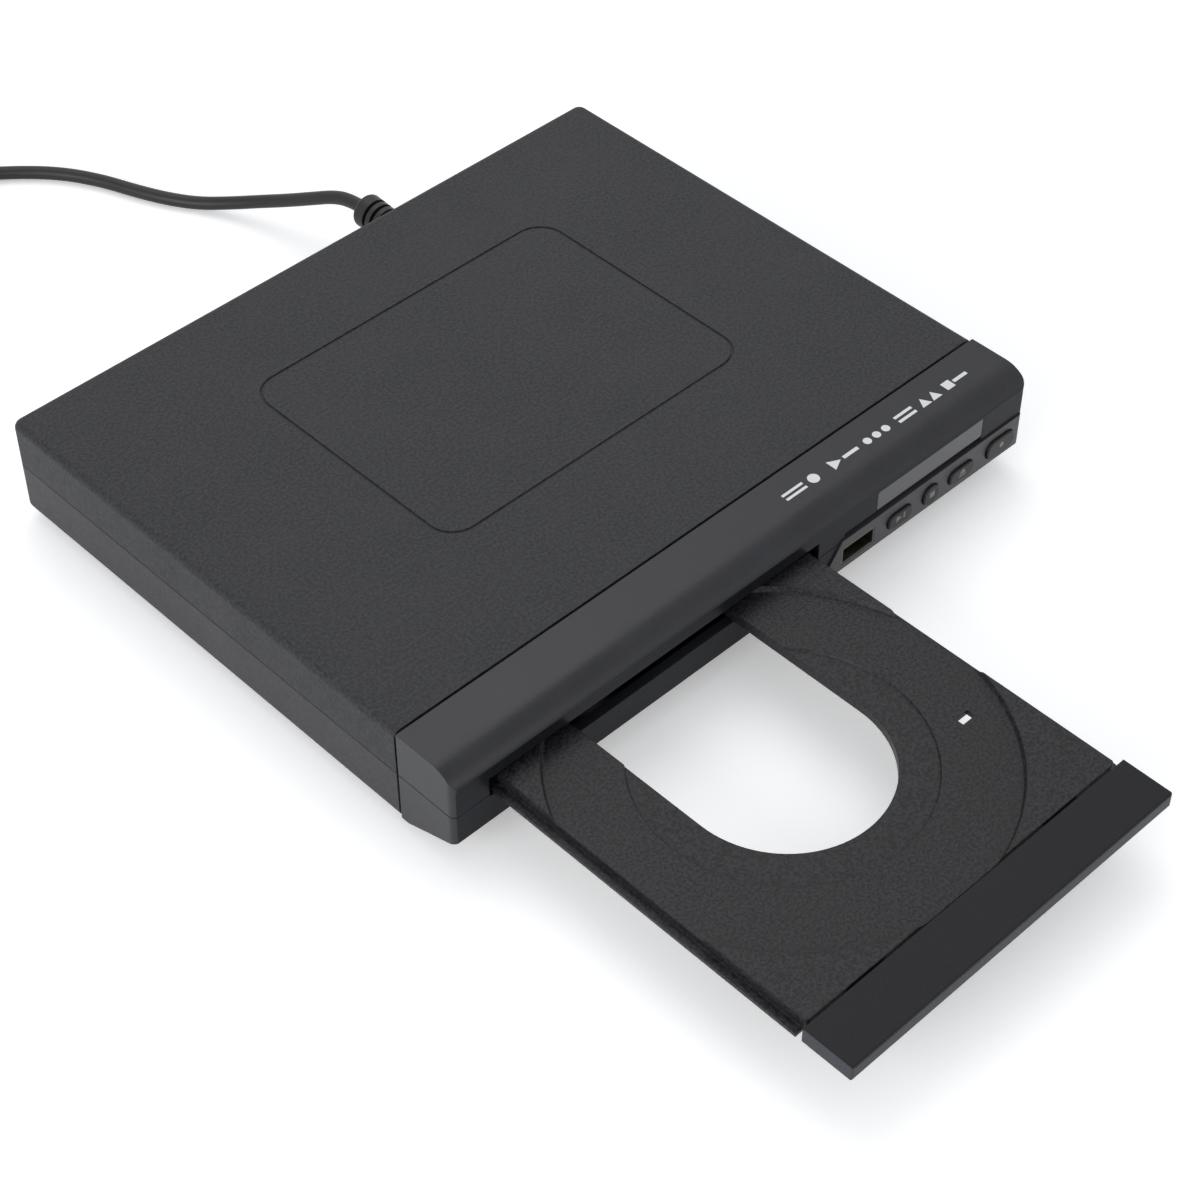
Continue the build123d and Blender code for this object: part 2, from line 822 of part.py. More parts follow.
# ---------------------------------------------------------------- tray
def make_tray():
    half_deck = deck_w / 2
    half_flange = flange_w / 2
    body = block(tray_cx - half_deck, tray_cx + half_deck, tray_front_y, tray_rear_y,
                 tray_low_z, deck_z)
    body = upright_edges(body, 1.2)
    hollow = block(tray_cx - half_deck + rib_t, tray_cx + half_deck - rib_t,
                   tray_front_y + rib_t, tray_rear_y + 5, tray_low_z - 1, underside_z)
    body -= hollow
    body += block(tray_cx - half_flange, tray_cx + half_flange, tray_front_y + 1,
                  tray_rear_y, tray_low_z, tray_low_z + flange_t) - block(
        tray_cx - half_deck + rib_t, tray_cx + half_deck - rib_t, tray_front_y - 1,
        tray_rear_y + 5, tray_low_z - 1, tray_low_z + flange_t + 1)
    wall_ring = hole_prism(hole_r + rib_t, tray_low_z, underside_z + 0.5)
    body += wall_ring & block(-half_w, half_w, tray_front_y, hole_rear_y - 12,
                              tray_low_z, underside_z + 0.5)
    floor_z = deck_z - recess_depth
    body -= Pos(disc_x, disc_y, floor_z + 0.5 * (recess_depth + 0.01)) * Cone(
        recess_r - recess_bevel, recess_r, recess_depth + 0.01)
    small_z = floor_z - small_recess_depth
    body -= Pos(disc_x, disc_y, small_z + 0.5 * (small_recess_depth + 0.01)) * Cone(
        small_recess_r - recess_bevel / 2, small_recess_r, small_recess_depth + 0.01)
    body -= hole_prism(hole_r, tray_low_z - 1, deck_z + 1)
    body -= block(peep_x - peep_w / 2, peep_x + peep_w / 2, peep_y - peep_d / 2,
                  peep_y + peep_d / 2, tray_low_z - 1, deck_z + 1)
    body += rack_solid()
    for side in (-1, 1):
        x = tray_cx + side * clip_dx
        middle = (tray_low_z + deck_z) / 2
        body += block(x - clip_w / 2, x + clip_w / 2, tray_front_y - door_gap - clip_l,
                      tray_front_y + rib_t, middle - clip_t / 2, middle + clip_t / 2)
    return body


def hole_prism(radius, z0, z1):
    """The tray's long hole: round at the front, straight back to its rear edge."""
    straight = block(disc_x - radius, disc_x + radius, disc_y, hole_rear_y, z0, z1)
    return straight + post(disc_x, disc_y, z0, z1, radius)


def load_gear_x():
    """The loading gear stands where its pinion meets the rack beside the deck's edge."""
    rack_x = tray_cx + deck_w / 2 - rib_t - rack_back
    return rack_x - rack_module * rack_teeth_pinion / 2


def rack_solid():
    pitch = math.pi * rack_module
    rack_x = load_gear_x() + rack_module * rack_teeth_pinion / 2
    count = int((tray_travel + 3 * pitch) / pitch)
    points = [(rack_x - v, load_gear_y + pitch - u)
              for u, v in rack_outline(rack_module, count)]
    back_x = rack_x + rack_back + 0.4
    points.append((back_x, points[-1][1]))
    points.append((back_x, points[0][1]))
    outline = make_face(Polyline(*points, close=True))
    return Pos(0, 0, underside_z - rack_depth_z) * extrude(outline, rack_depth_z + 0.3)


def make_door():
    half = door_w / 2
    body = block(tray_cx - half, tray_cx + half, door_y0, door_y1, tray_low_z + 0.1, deck_z)
    front = body.faces().sort_by(Axis.Y)[0].edges()
    body = fillet(front, door_edge_r)
    for side in (-1, 1):
        x = tray_cx + side * clip_dx
        middle = (tray_low_z + deck_z) / 2
        gap = touch_gap
        body -= block(x - clip_w / 2 - gap, x + clip_w / 2 + gap, door_y1 - clip_l - gap,
                      door_y1 + 1, middle - clip_t / 2 - gap, middle + clip_t / 2 + gap)
    return body


# ---------------------------------------------------------------- loader
def make_loader_frame():
    inner = rail_x
    outer = rail_x + rail_wall
    ledge_z = tray_low_z - fit_gap
    body = None
    for side in (-1, 1):
        x_in, x_out = tray_cx + side * inner, tray_cx + side * outer
        x0, x1 = sorted((x_in, x_out))
        rail = block(x0, x1, loader_y0, loader_y1, loader_z0, loader_top_z)
        x0, x1 = sorted((x_in - side * (rail_lip + rail_gap), x_in + side * 0.5))
        rail += block(x0, x1, loader_y0, loader_y1, ledge_z - 1.8, ledge_z)
        x0, x1 = sorted((x_in - side * rail_lip, x_in + side * 0.5))
        hook_z = tray_low_z + flange_t + fit_gap
        rail += block(x0, x1, loader_y0 + 2, loader_y0 + 26, hook_z, hook_z + 1.4)
        rail += block(x0, x1, loader_y1 - 40, loader_y1 - 4, hook_z, hook_z + 1.4)
        body = rail if body is None else body + rail
    wide = outer - rail_wall / 2
    base_top = loader_z0 + loader_base_t
    body += block(tray_cx - wide, tray_cx + wide, tab_l + 1, front_beam_y1, loader_z0,
                  base_top)
    body += block(tray_cx - wide, tray_cx + wide, rear_beam_y, loader_y1, loader_z0,
                  loader_z0 + rear_beam_h)
    for (x, y) in ear_posts():
        side = 1 if x > tray_cx else -1
        x0, x1 = sorted((tray_cx + side * (outer - 1), x + side * ear_w / 2))
        body += block(x0, x1, y - ear_l / 2, y + ear_l / 2, ear_z, ear_z + ear_t)
        body -= post(x, y, ear_z - 1, ear_z + ear_t + 1, screw_r + hole_gap)
    for x in pivot_block_x():
        body += block(x[0], x[1], pivot_y - 5, rear_beam_y + 2, loader_z0, pivot_z + 4)
        body -= rod_x(pivot_y, pivot_z, x[0] - 1, x[1] + 1, pivot_r + axle_gap)
    gear_x = load_gear_x()
    body += post(gear_x, load_gear_y, base_top - 0.5, underside_z - 0.6, axle_r)
    body += post(gear_x, load_gear_y, base_top - 0.5, load_gear_z - touch_gap, axle_r + 1.5)
    drive_x = drive_pulley_x()
    body += post(drive_x, load_gear_y, base_top - 0.5, pulley_top_z() - 0.2, axle_r)
    body += post(drive_x, load_gear_y, base_top - 0.5, load_gear_z - touch_gap, axle_r + 1.5)
    body += peg_guide()
    for x, y in bridge_screw_places():
        body += post(x, y, loader_top_z - 5, loader_top_z, bridge_boss_r)
        body -= post(x, y, loader_top_z - 4, loader_top_z + 1, screw_r + bore_gap)
    return body


def bridge_screw_places():
    """Bridge screws stand on small bosses outside the rails."""
    x = rail_x + rail_wall + bridge_boss_r - 0.6
    ys = (loader_y0 + 38, loader_y0 + 38 + bridge_d - 10)
    return [(tray_cx + side * x, y) for side in (-1, 1) for y in ys]


def pivot_block_x():
    """X spans of the two bearing blocks beside the traverse deck."""
    reach = traverse_w / 2 + fit_gap
    return ((disc_x - reach - pivot_len - 2, disc_x - reach),
            (disc_x + reach, disc_x + reach + pivot_len + 2))


def peg_guide():
    """Slotted block on the front beam, in which the traverse deck's peg slides."""
    low = front_beam_y1 - 1
    body = block(disc_x - guide_w / 2, disc_x + guide_w / 2, low, guide_y1, loader_z0,
                 guide_top_z)
    half_slot = peg_r + peg_gap
    slot_top = peg_z() + half_slot
    return body - block(disc_x - half_slot, disc_x + half_slot, low - 9, guide_y1 + 1,
                        loader_z0 - 1, slot_top)


def peg_z():
    return traverse_z + traverse_t + peg_rise


def drive_pulley_x():
    return load_gear_x() - train_module * (train_wheel + train_pinion) / 2


def motor_x():
    return drive_pulley_x() - belt_span


def pulley_low_z():
    return load_gear_z + gear_face + 0.3


def pulley_top_z():
    return pulley_low_z() + pulley_h


def make_loading_gear():
    """Wheel driven by the pulley's pinion, with the pinion that moves the rack."""
    x, y = load_gear_x(), load_gear_y
    wheel = gear(train_module, train_wheel, gear_face, 180 + 180 / train_wheel)
    top_z = underside_z - fit_gap
    small = gear(rack_module, rack_teeth_pinion, top_z - load_gear_z - gear_face)
    body = Pos(x, y, load_gear_z) * wheel
    body += Pos(x, y, load_gear_z + gear_face) * small
    for step in range(4):
        angle = math.radians(45 + 90 * step)
        reach = train_module * train_wheel / 2 - 3.8
        body -= post(x + reach * math.cos(angle), y + reach * math.sin(angle),
                     load_gear_z - 1, load_gear_z + gear_face + 0.01, 1.2)
    return body - post(x, y, load_gear_z - 1, underside_z + 1, axle_r + axle_gap)


def grooved_wheel(radius, height, groove):
    """Pulley turned from a disc, with a flat groove for the belt."""
    rim = Pos(0, 0, height / 2) * Cylinder(radius + groove, height)
    slot = Pos(0, 0, height / 2) * Cylinder(radius + groove + 1, belt_t + 0.3)
    core = Pos(0, 0, height / 2) * Cylinder(radius, height)
    return (rim - slot) + core


def make_drive_pulley():
    x, y = drive_pulley_x(), load_gear_y
    body = Pos(x, y, pulley_low_z()) * grooved_wheel(pulley_r, pulley_h, 0.9)
    body += Pos(x, y, load_gear_z) * gear(train_module, train_pinion,
                                          pulley_low_z() - load_gear_z + 0.1)
    for step in range(5):
        angle = math.radians(72 * step + 20)
        body -= post(x + 5.6 * math.cos(angle), y + 5.6 * math.sin(angle),
                     pulley_low_z() + 0.9, pulley_top_z() + 1, 1.0)
    return body - post(x, y, load_gear_z - 1, pulley_top_z() + 1, axle_r + axle_gap)


def make_motor_pulley():
    body = Pos(motor_x(), motor_y, pulley_low_z()) * grooved_wheel(motor_pulley_r, pulley_h,
                                                                   0.7)
    return body - post(motor_x(), motor_y, 0, 30, 0.8 + axle_gap)


def make_belt():
    """Square belt round both pulleys, a running gap away from their grooves."""
    z0 = pulley_low_z() + (pulley_h - belt_t) / 2
    start = Vector(drive_pulley_x(), load_gear_y)
    end = Vector(motor_x(), motor_y)
    loops = []
    for grow in (belt_gap, belt_gap + belt_t):
        big, small = pulley_r + grow, motor_pulley_r + grow
        lean = math.asin((big - small) / (start - end).length)
        s, c = math.sin(lean), math.cos(lean)
        top_a = (start.X - big * s, start.Y + big * c)
        top_b = (end.X - small * s, end.Y + small * c)
        low_a = (start.X - big * s, start.Y - big * c)
        low_b = (end.X - small * s, end.Y - small * c)
        loops.append(make_face([
            Line(top_a, top_b), ThreePointArc(top_b, (end.X - small, end.Y), low_b),
            Line(low_b, low_a), ThreePointArc(low_a, (start.X + big, start.Y), top_a)]))
    return Pos(0, 0, z0) * extrude(loops[1] - loops[0], belt_t)


def make_loading_motor():
    base = loader_z0 + loader_base_t
    body = post(motor_x(), motor_y, base, base + motor_h - 2, motor_r)
    body = fillet(body.edges().group_by(Axis.Z)[-1], 1.0)
    body += post(motor_x(), motor_y, base, pulley_low_z() - 0.5, 2.6)
    return body + post(motor_x(), motor_y, base, pulley_top_z() - 0.1, 0.8)


# ---------------------------------------------------------------- traverse group
def tilt(shape):
    """Turn a piece of the traverse group from its play position down to rest."""
    back = Pos(0, pivot_y, pivot_z)
    return back * Rot(traverse_tilt, 0, 0) * back.inverse() * shape


def make_traverse_deck():
    half = traverse_w / 2
    top = traverse_z + traverse_t
    body = block(disc_x - half, disc_x + half, traverse_y0, traverse_y1, traverse_z, top)
    body = upright_edges(body, 4)
    body -= block(disc_x - sled_bay_w / 2, disc_x + sled_bay_w / 2, sled_bay_y0, sled_bay_y1,
                  traverse_z - 1, top + 1)
    for side in (-1, 1):
        x = disc_x + side * rod_dx
        for y in (sled_bay_y0 - rod_block_l, sled_bay_y1):
            body += block(x - rod_block, x + rod_block, y, y + rod_block_l, traverse_z,
                          rod_z + rod_r + 1)
        body -= rod_y(x, rod_z, sled_bay_y0 - 2.5, sled_bay_y1 + 2.5, rod_r + touch_gap / 5)
        x0, x1 = sorted((disc_x + side * (half - 1), disc_x + side * (half + fit_gap + pivot_len)))
        body += rod_x(pivot_y, pivot_z, x0, x1, pivot_r)
        x0, x1 = sorted((disc_x + side * (half - 6), disc_x + side * half))
        body += block(x0, x1, pivot_y - 4, pivot_y + 4, traverse_z, pivot_z + 2)
    body += rod_y(disc_x, peg_z(), traverse_y0 - peg_reach, traverse_y0 + peg_root, peg_r)
    gear_x, gear_y = feed_axis()
    body += post(gear_x, gear_y, traverse_z, feed_top_z(), feed_axle_r)
    body += post(gear_x, gear_y, top - 0.2, top + 0.2, feed_axle_r + 1)
    motor_x0, motor_y0 = feed_motor_place()
    return body - post(motor_x0, motor_y0, traverse_z - 1, top + 1, 1.6)


def feed_axis():
    """Axis of the double feed gear beside the pickup's rack."""
    return disc_x - rack_line_dx() - feed_module * feed_small / 2, feed_line_y()


def rack_line_dx():
    """How far left of the pickup's middle its rack's pitch line lies."""
    wheel_r = feed_module * (feed_wheel / 2 + 1)
    return sled_w / 2 + fit_gap + wheel_r - feed_module * feed_small / 2


def feed_line_y():
    return spindle_y + sled_home + 3.0


def feed_motor_place():
    reach = feed_module * (feed_wheel + feed_pinion) / 2
    x, y = feed_axis()
    return x, y - reach


def make_rods():
    return [rod_y(disc_x + side * rod_dx, rod_z, sled_bay_y0 - 2.5, sled_bay_y1 + 2.5, rod_r)
            for side in (-1, 1)]


def make_spindle_motor():
    top = traverse_z + traverse_t
    body = post(disc_x, spindle_y, top, top + 1.0, spindle_motor_r + 1.5)
    body += post(disc_x, spindle_y, top, top + spindle_motor_h, spindle_motor_r)
    body -= post(disc_x, spindle_y, top - 1, top + spindle_motor_h + 1,
                 spindle_r + axle_gap)
    return body


def make_turntable():
    low = disc_lift_z - turntable_t
    body = post(disc_x, spindle_y, low, disc_lift_z, turntable_r)
    body += post(disc_x, spindle_y, disc_lift_z - 0.1, disc_lift_z + spigot_h, spigot_r)
    body = chamfer(body.edges().group_by(Axis.Z)[-1], 0.9)
    shaft_low = traverse_z + traverse_t + 0.3
    return body + post(disc_x, spindle_y, shaft_low, low + 0.2, spindle_r)


def make_pickup():
    """Pickup sled, its rod bearings and its feed rack."""
    y0 = spindle_y + sled_home - sled_l / 2
    y1 = y0 + sled_l
    body = block(disc_x - sled_w / 2, disc_x + sled_w / 2, y0, y1, sled_z0, sled_z0 + sled_h)
    body = upright_edges(body, 1.5)
    for side in (-1, 1):
        body -= rod_y(disc_x + side * rod_dx, rod_z, y0 - 1, y1 + 1, rod_r + axle_gap)
        x0, x1 = sorted((disc_x + side * (rod_dx - 4.5), disc_x + side * (sled_w / 2 + 1)))
        body -= block(x0, x1, y0 + 4, y1 - 4, sled_z0 - 1, rod_z + rod_r + 0.4)
    pitch = math.pi * feed_module
    count = int((sled_travel + 3 * pitch) / pitch)
    line_x = disc_x - rack_line_dx()
    points = [(line_x - v, feed_line_y() + pitch - u)
              for u, v in rack_outline(feed_module, count)]
    back_x = line_x + rack_web
    points.append((back_x, points[-1][1]))
    points.append((back_x, points[0][1]))
    rack = extrude(make_face(Polyline(*points, close=True)), feed_face)
    body += Pos(0, 0, rack_low_z()) * rack
    arm_x1 = disc_x - sled_w / 2 + 1
    return body + block(back_x - 0.5, arm_x1, y0, y1 - 3, rack_low_z(),
                        rack_low_z() + feed_face)


def rack_low_z():
    return feed_wheel_z() + feed_face + 0.2


def feed_wheel_z():
    return traverse_z + traverse_t + 0.3


def feed_top_z():
    return rack_low_z() + feed_face + 0.3


def make_lens():
    """Lens holder with its lens, standing on the sled."""
    x, y = disc_x, spindle_y + sled_home
    top = sled_z0 + sled_h
    body = block(x - 7, x + 7, y - 5, y + 5, top, top + 1.2)
    body += post(x, y, top, lens_top - 0.5, lens_housing_r)
    body -= post(x, y, lens_top - 1.1, lens_top, lens_r)
    dome = Pos(x, y, lens_top - 4.0) * Sphere(3.9)
    return body + (dome & post(x, y, lens_top - 2.0, lens_top, lens_r))


def make_feed_gear():
    x, y = feed_axis()
    wheel = gear(feed_module, feed_wheel, feed_face, -90 + 180 / feed_wheel)
    body = Pos(x, y, feed_wheel_z()) * wheel
    small = gear(feed_module, feed_small, feed_top_z() - feed_wheel_z() - feed_face)
    body += Pos(x, y, feed_wheel_z() + feed_face) * small
    return body - post(x, y, 0, body_h, feed_axle_r + axle_gap)


def make_feed_pinion():
    x, y = feed_motor_place()
    wheel = gear(feed_module, feed_pinion, feed_face, 90)
    body = Pos(x, y, feed_wheel_z()) * wheel
    return body - post(x, y, 0, body_h, 0.5 + axle_gap)


def make_feed_motor():
    x, y = feed_motor_place()
    body = post(x, y, traverse_z - feed_motor_h, traverse_z, feed_motor_r)
    body += post(x, y, traverse_z - 0.5, traverse_z + 0.6, 1.4)
    return body + post(x, y, traverse_z - 0.5, feed_wheel_z() + feed_face - 0.2, 0.5)


# ---------------------------------------------------------------- clamp
def make_bridge():
    wide = rail_x + rail_wall + 2 * bridge_boss_r
    y0, y1 = loader_y0 + 33, loader_y0 + 33 + bridge_d
    body = block(tray_cx - wide, tray_cx + wide, y0, y1, bridge_z, bridge_z + bridge_t)
    body = upright_edges(body, 2)
    for side in (-1, 1):
        x = tray_cx + side * 38
        body -= block(x - 12, x + 12, y0 + 9, y1 - 9, bridge_z - 1, bridge_z + bridge_t + 1)
    for x, y in bridge_screw_places():
        body -= post(x, y, bridge_z - 1, bridge_z + bridge_t + 1, screw_r + hole_gap)
    return body - post(disc_x, spindle_y, bridge_z - 1, bridge_z + 5, puck_hub_r + puck_gap)


def make_puck():
    top = bridge_z + bridge_t + puck_gap
    body = post(disc_x, spindle_y, puck_low_z, top + puck_flange_t, puck_hub_r)
    body += post(disc_x, spindle_y, top, top + puck_flange_t, puck_r)
    body -= post(disc_x, spindle_y, puck_low_z - 1, puck_low_z + 2.4, spigot_r + 0.4)
    return fillet(body.edges().group_by(Axis.Z)[-1], 0.4)


# ---------------------------------------------------------------- boards and what is on them
def make_board(y0, y1):
    """Circuit board with its corner screw holes."""
    body = block(bay_x0, bay_x1, y0, y1, board_z, board_z + board_t)
    for x, y in board_posts():
        body -= post(x, y, board_z - 1, board_z + board_t + 1, screw_r + hole_gap)
    return body


def bay_x(place):
    """X of a place on the boards, whose plan is drawn bay_plan_w wide and spread to fit."""
    return bay_x0 + place * (bay_x1 - bay_x0) / bay_plan_w


def main_y(place):
    """Y of a place on the main board, whose plan is drawn main_plan_l long."""
    return main_y0 + place * (main_y1 - main_y0) / main_plan_l


def on_board(x, y, width, length, height):
    """Package standing on a board, its plan centred at x, y."""
    base = board_z + board_t
    return block(x - width / 2, x + width / 2, y - length / 2, y + length / 2, base,
                 base + height)


def flat_chip(x, y, width, leg):
    """Square chip with a row of leads on each side."""
    body = on_board(x, y, width, width, chip_h)
    body = chamfer(body.edges().group_by(Axis.Z)[-1], 0.3)
    leads = on_board(x, y, width + 2 * leg, width - 2 * leg, 0.3)
    return body + leads + on_board(x, y, width - 2 * leg, width + 2 * leg, 0.3)


def make_chips():
    return [flat_chip(bay_x(29), main_y(32), 20.0, 1.2),
            flat_chip(bay_x(51), main_y(48), 11.0, 1.0),
            on_board(bay_x(27), main_y(56), 18.0, 8.0, 1.6),
            on_board(bay_x(49), main_y(22), 9.0, 6.0, 1.6),
            on_board(bay_x(13), main_y(16), 10.0, 5.0, 2.4)]


def can(x, y, radius, height):
    """Upright capacitor with its rolled crimp near the foot."""
    base = board_z + board_t
    body = post(x, y, base, base + height, radius)
    body = fillet(body.edges().group_by(Axis.Z)[-1], 0.6)
    ring = post(x, y, base + 1.6, base + 2.4, radius + 1)
    return body - (ring - post(x, y, base, base + 4, radius - 0.35))


def make_capacitors():
    return [can(bay_x(14), power_y0 + 12, 5.0, 18.0), can(bay_x(26), power_y0 + 12, 4.0, 14.0),
            can(bay_x(36), power_y0 + 9, 4.0, 14.0), can(bay_x(46), power_y0 + 12, 3.2, 11.0),
            can(bay_x(54), power_y0 + 10, 2.6, 9.0), can(bay_x(18), main_y1 - 6, 2.6, 8.0),
            can(bay_x(26), main_y1 - 6, 2.6, 8.0)]


def make_transformer():
    """Switching transformer: ferrite core round a wound bobbin."""
    x, y = bay_x(37), power_y0 + 34
    base = board_z + board_t
    bobbin = on_board(x, y, 22.0, 17.0, 15.0)
    core = on_board(x, y, 26.0, 10.0, 16.0)
    winding = Pos(x, y, base + 7.5) * Rot(0, 90, 0) * Cylinder(8.6, 16.0)
    return bobbin + core + (winding & on_board(x, y, 16.0, 20.0, 16.0))


def make_heat_sink():
    """Finned sink on the power board."""
    x, y = bay_x(12), power_y0 + 32
    body = on_board(x, y, 3.0, 22.0, 15.0)
    for step in range(5):
        body += on_board(x + 3, y - 9 + 4.5 * step, 6.0, 1.6, 15.0)
    return body


def make_fuse():
    x, y = bay_x(36.5), power_y1 - 6
    axis_z = board_z + board_t + 3.4
    body = rod_x(y, axis_z, x - 10, x + 10, 2.5)
    for side in (-1, 1):
        body += on_board(x + side * 8.5, y, 3.0, 3.4, 4.0)
    return body


def make_mains_connector():
    """Board connector where the cord's inner leads are plugged."""
    x, y = bay_x(17.5), power_y1 - 5
    return on_board(x, y, 9.0, 6.0, 8.0)


def make_board_screws():
    return [countersunk(x, y, board_z + board_t, board_z - 3.2) for x, y in board_posts()]


def make_loader_screws():
    return [countersunk(x, y, ear_z + ear_t, ear_z - 4.5) for x, y in ear_posts()]


def make_case_screws():
    return [countersunk(x, y, counterbore_h, split_z + 8) for x, y in case_posts()]


def make_front_screws():
    out = []
    back = front_board_y + board_t
    for x in front_posts():
        head = rod_y(x, key_z, back, back + screw_head_h, screw_head_r)
        out.append(head + rod_y(x, key_z, back - 5.5, back, screw_r))
    return out


def make_bridge_screws():
    out = []
    for x, y in bridge_screw_places():
        out.append(countersunk(x, y, bridge_z + bridge_t, bridge_z - 2.6))
    return out


# ---------------------------------------------------------------- back panel pieces
def make_jacks():
    out = []
    for x in jack_places():
        half = jack_body / 2
        body = block(x - half, x + half, back_in_y - touch_gap - jack_body_l,
                     back_in_y - touch_gap, jack_z - half, jack_z + half)
        body += rod_y(x, jack_z, back_in_y - 1, shell_d + 0.6, jack_collar_r)
        body += rod_y(x, jack_z, back_in_y, jack_end_y, jack_r)
        body -= rod_y(x, jack_z, shell_d - 1, jack_end_y + 1, jack_bore_r)
        body += rod_y(x, jack_z, shell_d - 2, jack_end_y - 1.2, jack_bore_r - 0.9)
        out.append(body - rod_y(x, jack_z, shell_d - 1, jack_end_y + 1, jack_pin_r))
    return out


def make_jack_board():
    y1 = back_in_y - 2
    y0 = y1 - jack_body_l - 2
    top = jack_z - jack_body / 2
    return block(jack_x0 - 8, jack_places()[-1] + 8, y0, y1, top - jack_board_t, top)


# ---------------------------------------------------------------- feet
def make_feet():
    out = []
    for x, y in foot_places():
        body = post(x, y, table_z, foot_recess, foot_r)
        body = fillet(body.edges().group_by(Axis.Z)[0], 0.8)
        ring = post(x, y, table_z - 1, table_z + 0.6, foot_r - 2.4)
        out.append(body - ring)
    return out


# ---------------------------------------------------------------- mains cord
# Middle of the cord at each point of its route: out of the relief, down to the table
# and away to the left behind the player.
cord_lie_z = table_z + cord_r
coil_lie_z = cord_lie_z + coil_lift
plug_axis_z = table_z + plug_h / 2
cord_route = [
    (boot_x, boot_end_y, boot_z), (boot_x, 188.2, boot_z), (34.4, 195.2, 17.2),
    (31.6, 203.8, 13.2), (28.9, 213.2, 8.6), (25.4, 223.0, 4.6), (20.6, 232.6, 1.2),
    (14.9, 242.2, cord_lie_z), (9.2, 251.0, cord_lie_z), (4.3, 261.6, cord_lie_z),
    (-0.6, 274.6, cord_lie_z), (-7.9, 287.2, cord_lie_z), (-18.6, 298.2, cord_lie_z),
    (-31.2, 308.0, cord_lie_z),
]


def corner_radii(points):
    """Arc radius for each inner point: 0.45 of its shorter run over tan(half the turn)."""
    radii = []
    for before, here, after in zip(points, points[1:], points[2:]):
        run_in = Vector(here) - Vector(before)
        run_out = Vector(after) - Vector(here)
        half_turn = math.radians(run_in.get_angle(run_out)) / 2
        radii.append(0.45 * min(run_in.length, run_out.length) / math.tan(half_turn))
    return radii


def tube(path):
    """Round cord swept along a path."""
    start = path @ 0
    section = Plane(origin=start, z_dir=path % 0) * Circle(cord_r)
    return sweep(section, path)


def coil_frames():
    """Point and direction at each quarter turn: in along the table, up, out again on top."""
    drop = coil_pitch / 4
    quarters = round(4 * coil_layer_turns)
    inner = coil_outer_r - drop * quarters
    high = coil_lie_z + coil_pitch
    climb = coil_pitch / (math.pi * inner)
    stations = [(coil_outer_r - drop * step, coil_lie_z, -drop, 0) for step in
                range(quarters + 1)]
    stations.append((inner - drop, (coil_lie_z + high) / 2, 0, climb))
    stations += [(inner + drop * step, high, drop, 0) for step in range(quarters + 1)]
    frames = []
    for step, (radius, z, spread, rise) in enumerate(stations):
        angle = math.radians(coil_start_deg + 90 * step)
        outward = Vector(math.cos(angle), math.sin(angle), 0)
        round_way = Vector(-math.sin(angle), math.cos(angle), 0)
        place = Vector(*coil_centre, z) + outward * radius
        direction = round_way + outward * (spread / (radius * math.pi / 2))
        frames.append((place, (direction + Vector(0, 0, rise)).normalized()))
    return frames


def make_cord():
    """Cord from the relief to the coil, its last run in line with the coil's first turn."""
    place, direction = coil_frames()[0]
    end = place - direction * coil_end_run
    points = cord_route + [tuple(end - direction * cord_last_run), tuple(end)]
    return named_tube("cord", points)


def make_plug_lead():
    """Short stretch from the top turn of the coil down to the plug on the table."""
    place, direction = coil_frames()[-1]
    start = place + direction * coil_end_run
    drop = start.Z - plug_axis_z
    ahead = [(9, 0), (18, 0.25), (27, 0.75), (36, 1), (45, 1)]
    aside = Vector(direction.Y, -direction.X, 0)
    points = [start]
    for step, (reach, share) in enumerate(ahead):
        lean = aside * (0.12 * step * step)
        points.append(start + direction * reach + lean - Vector(0, 0, drop * share))
    return named_tube("plug lead", [tuple(point) for point in points]), points[-2], points[-1]


def named_tube(name, points):
    radii = corner_radii(points)
    path = FilletPolyline(*points, radius=radii)
    body = tube(path)
    print(name, "radii", [round(radius, 1) for radius in radii])
    print(name, "length", round(path.length, 1), "volume ratio", volume_ratio(body, path))
    return body


def volume_ratio(body, path):
    return round(body.volume / (math.pi * cord_r ** 2 * path.length), 4)


def biarc(a, a_way, b, b_way):
    """Two tangent arcs that leave a along a_way and reach b along b_way."""
    chord = b - a
    along = chord.dot(a_way + b_way)
    spread = 2 * (1 - a_way.dot(b_way))
    reach = (math.sqrt(along ** 2 + spread * chord.dot(chord)) - along) / spread
    first, second = a + a_way * reach, b - b_way * reach
    middle = (first + second) * 0.5
    return [arc_by_corner(a, first, middle), arc_by_corner(middle, second, b)]


def arc_by_corner(a, corner, b):
    """Arc from a to b whose end tangents meet at corner."""
    half = (b - a).length / 2
    side = (corner - a).length
    foot = (a + b) * 0.5
    rise = (corner - foot).length
    height = half * (side - half) / rise
    return ThreePointArc(a, foot + (corner - foot) * (height / rise), b)


def make_coil():
    """Two layers of turns as one unbroken tube with a straight run at both ends."""
    frames = coil_frames()
    first, last = frames[0], frames[-1]
    arcs = []
    for (a, a_way), (b, b_way) in zip(frames, frames[1:]):
        arcs += biarc(a, a_way, b, b_way)
    edges = [Line(first[0] - first[1] * coil_end_run, first[0])] + arcs
    edges.append(Line(last[0], last[0] + last[1] * coil_end_run))
    path = Wire(edges)
    body = tube(path)
    print("coil length", round(path.length, 1), "volume ratio", volume_ratio(body, path))
    samples = [arc @ (step / 6) for arc in arcs for step in range(6)]
    print("coil least gap to itself", round(least_gap(samples), 2))
    return body


def least_gap(samples):
    """Least clear distance between stretches of the coil over half a turn apart."""
    half_turn = 24
    best = math.inf
    for index, here in enumerate(samples):
        for other in samples[index + half_turn:]:
            best = min(best, (here - other).length)
    return best - 2 * cord_r


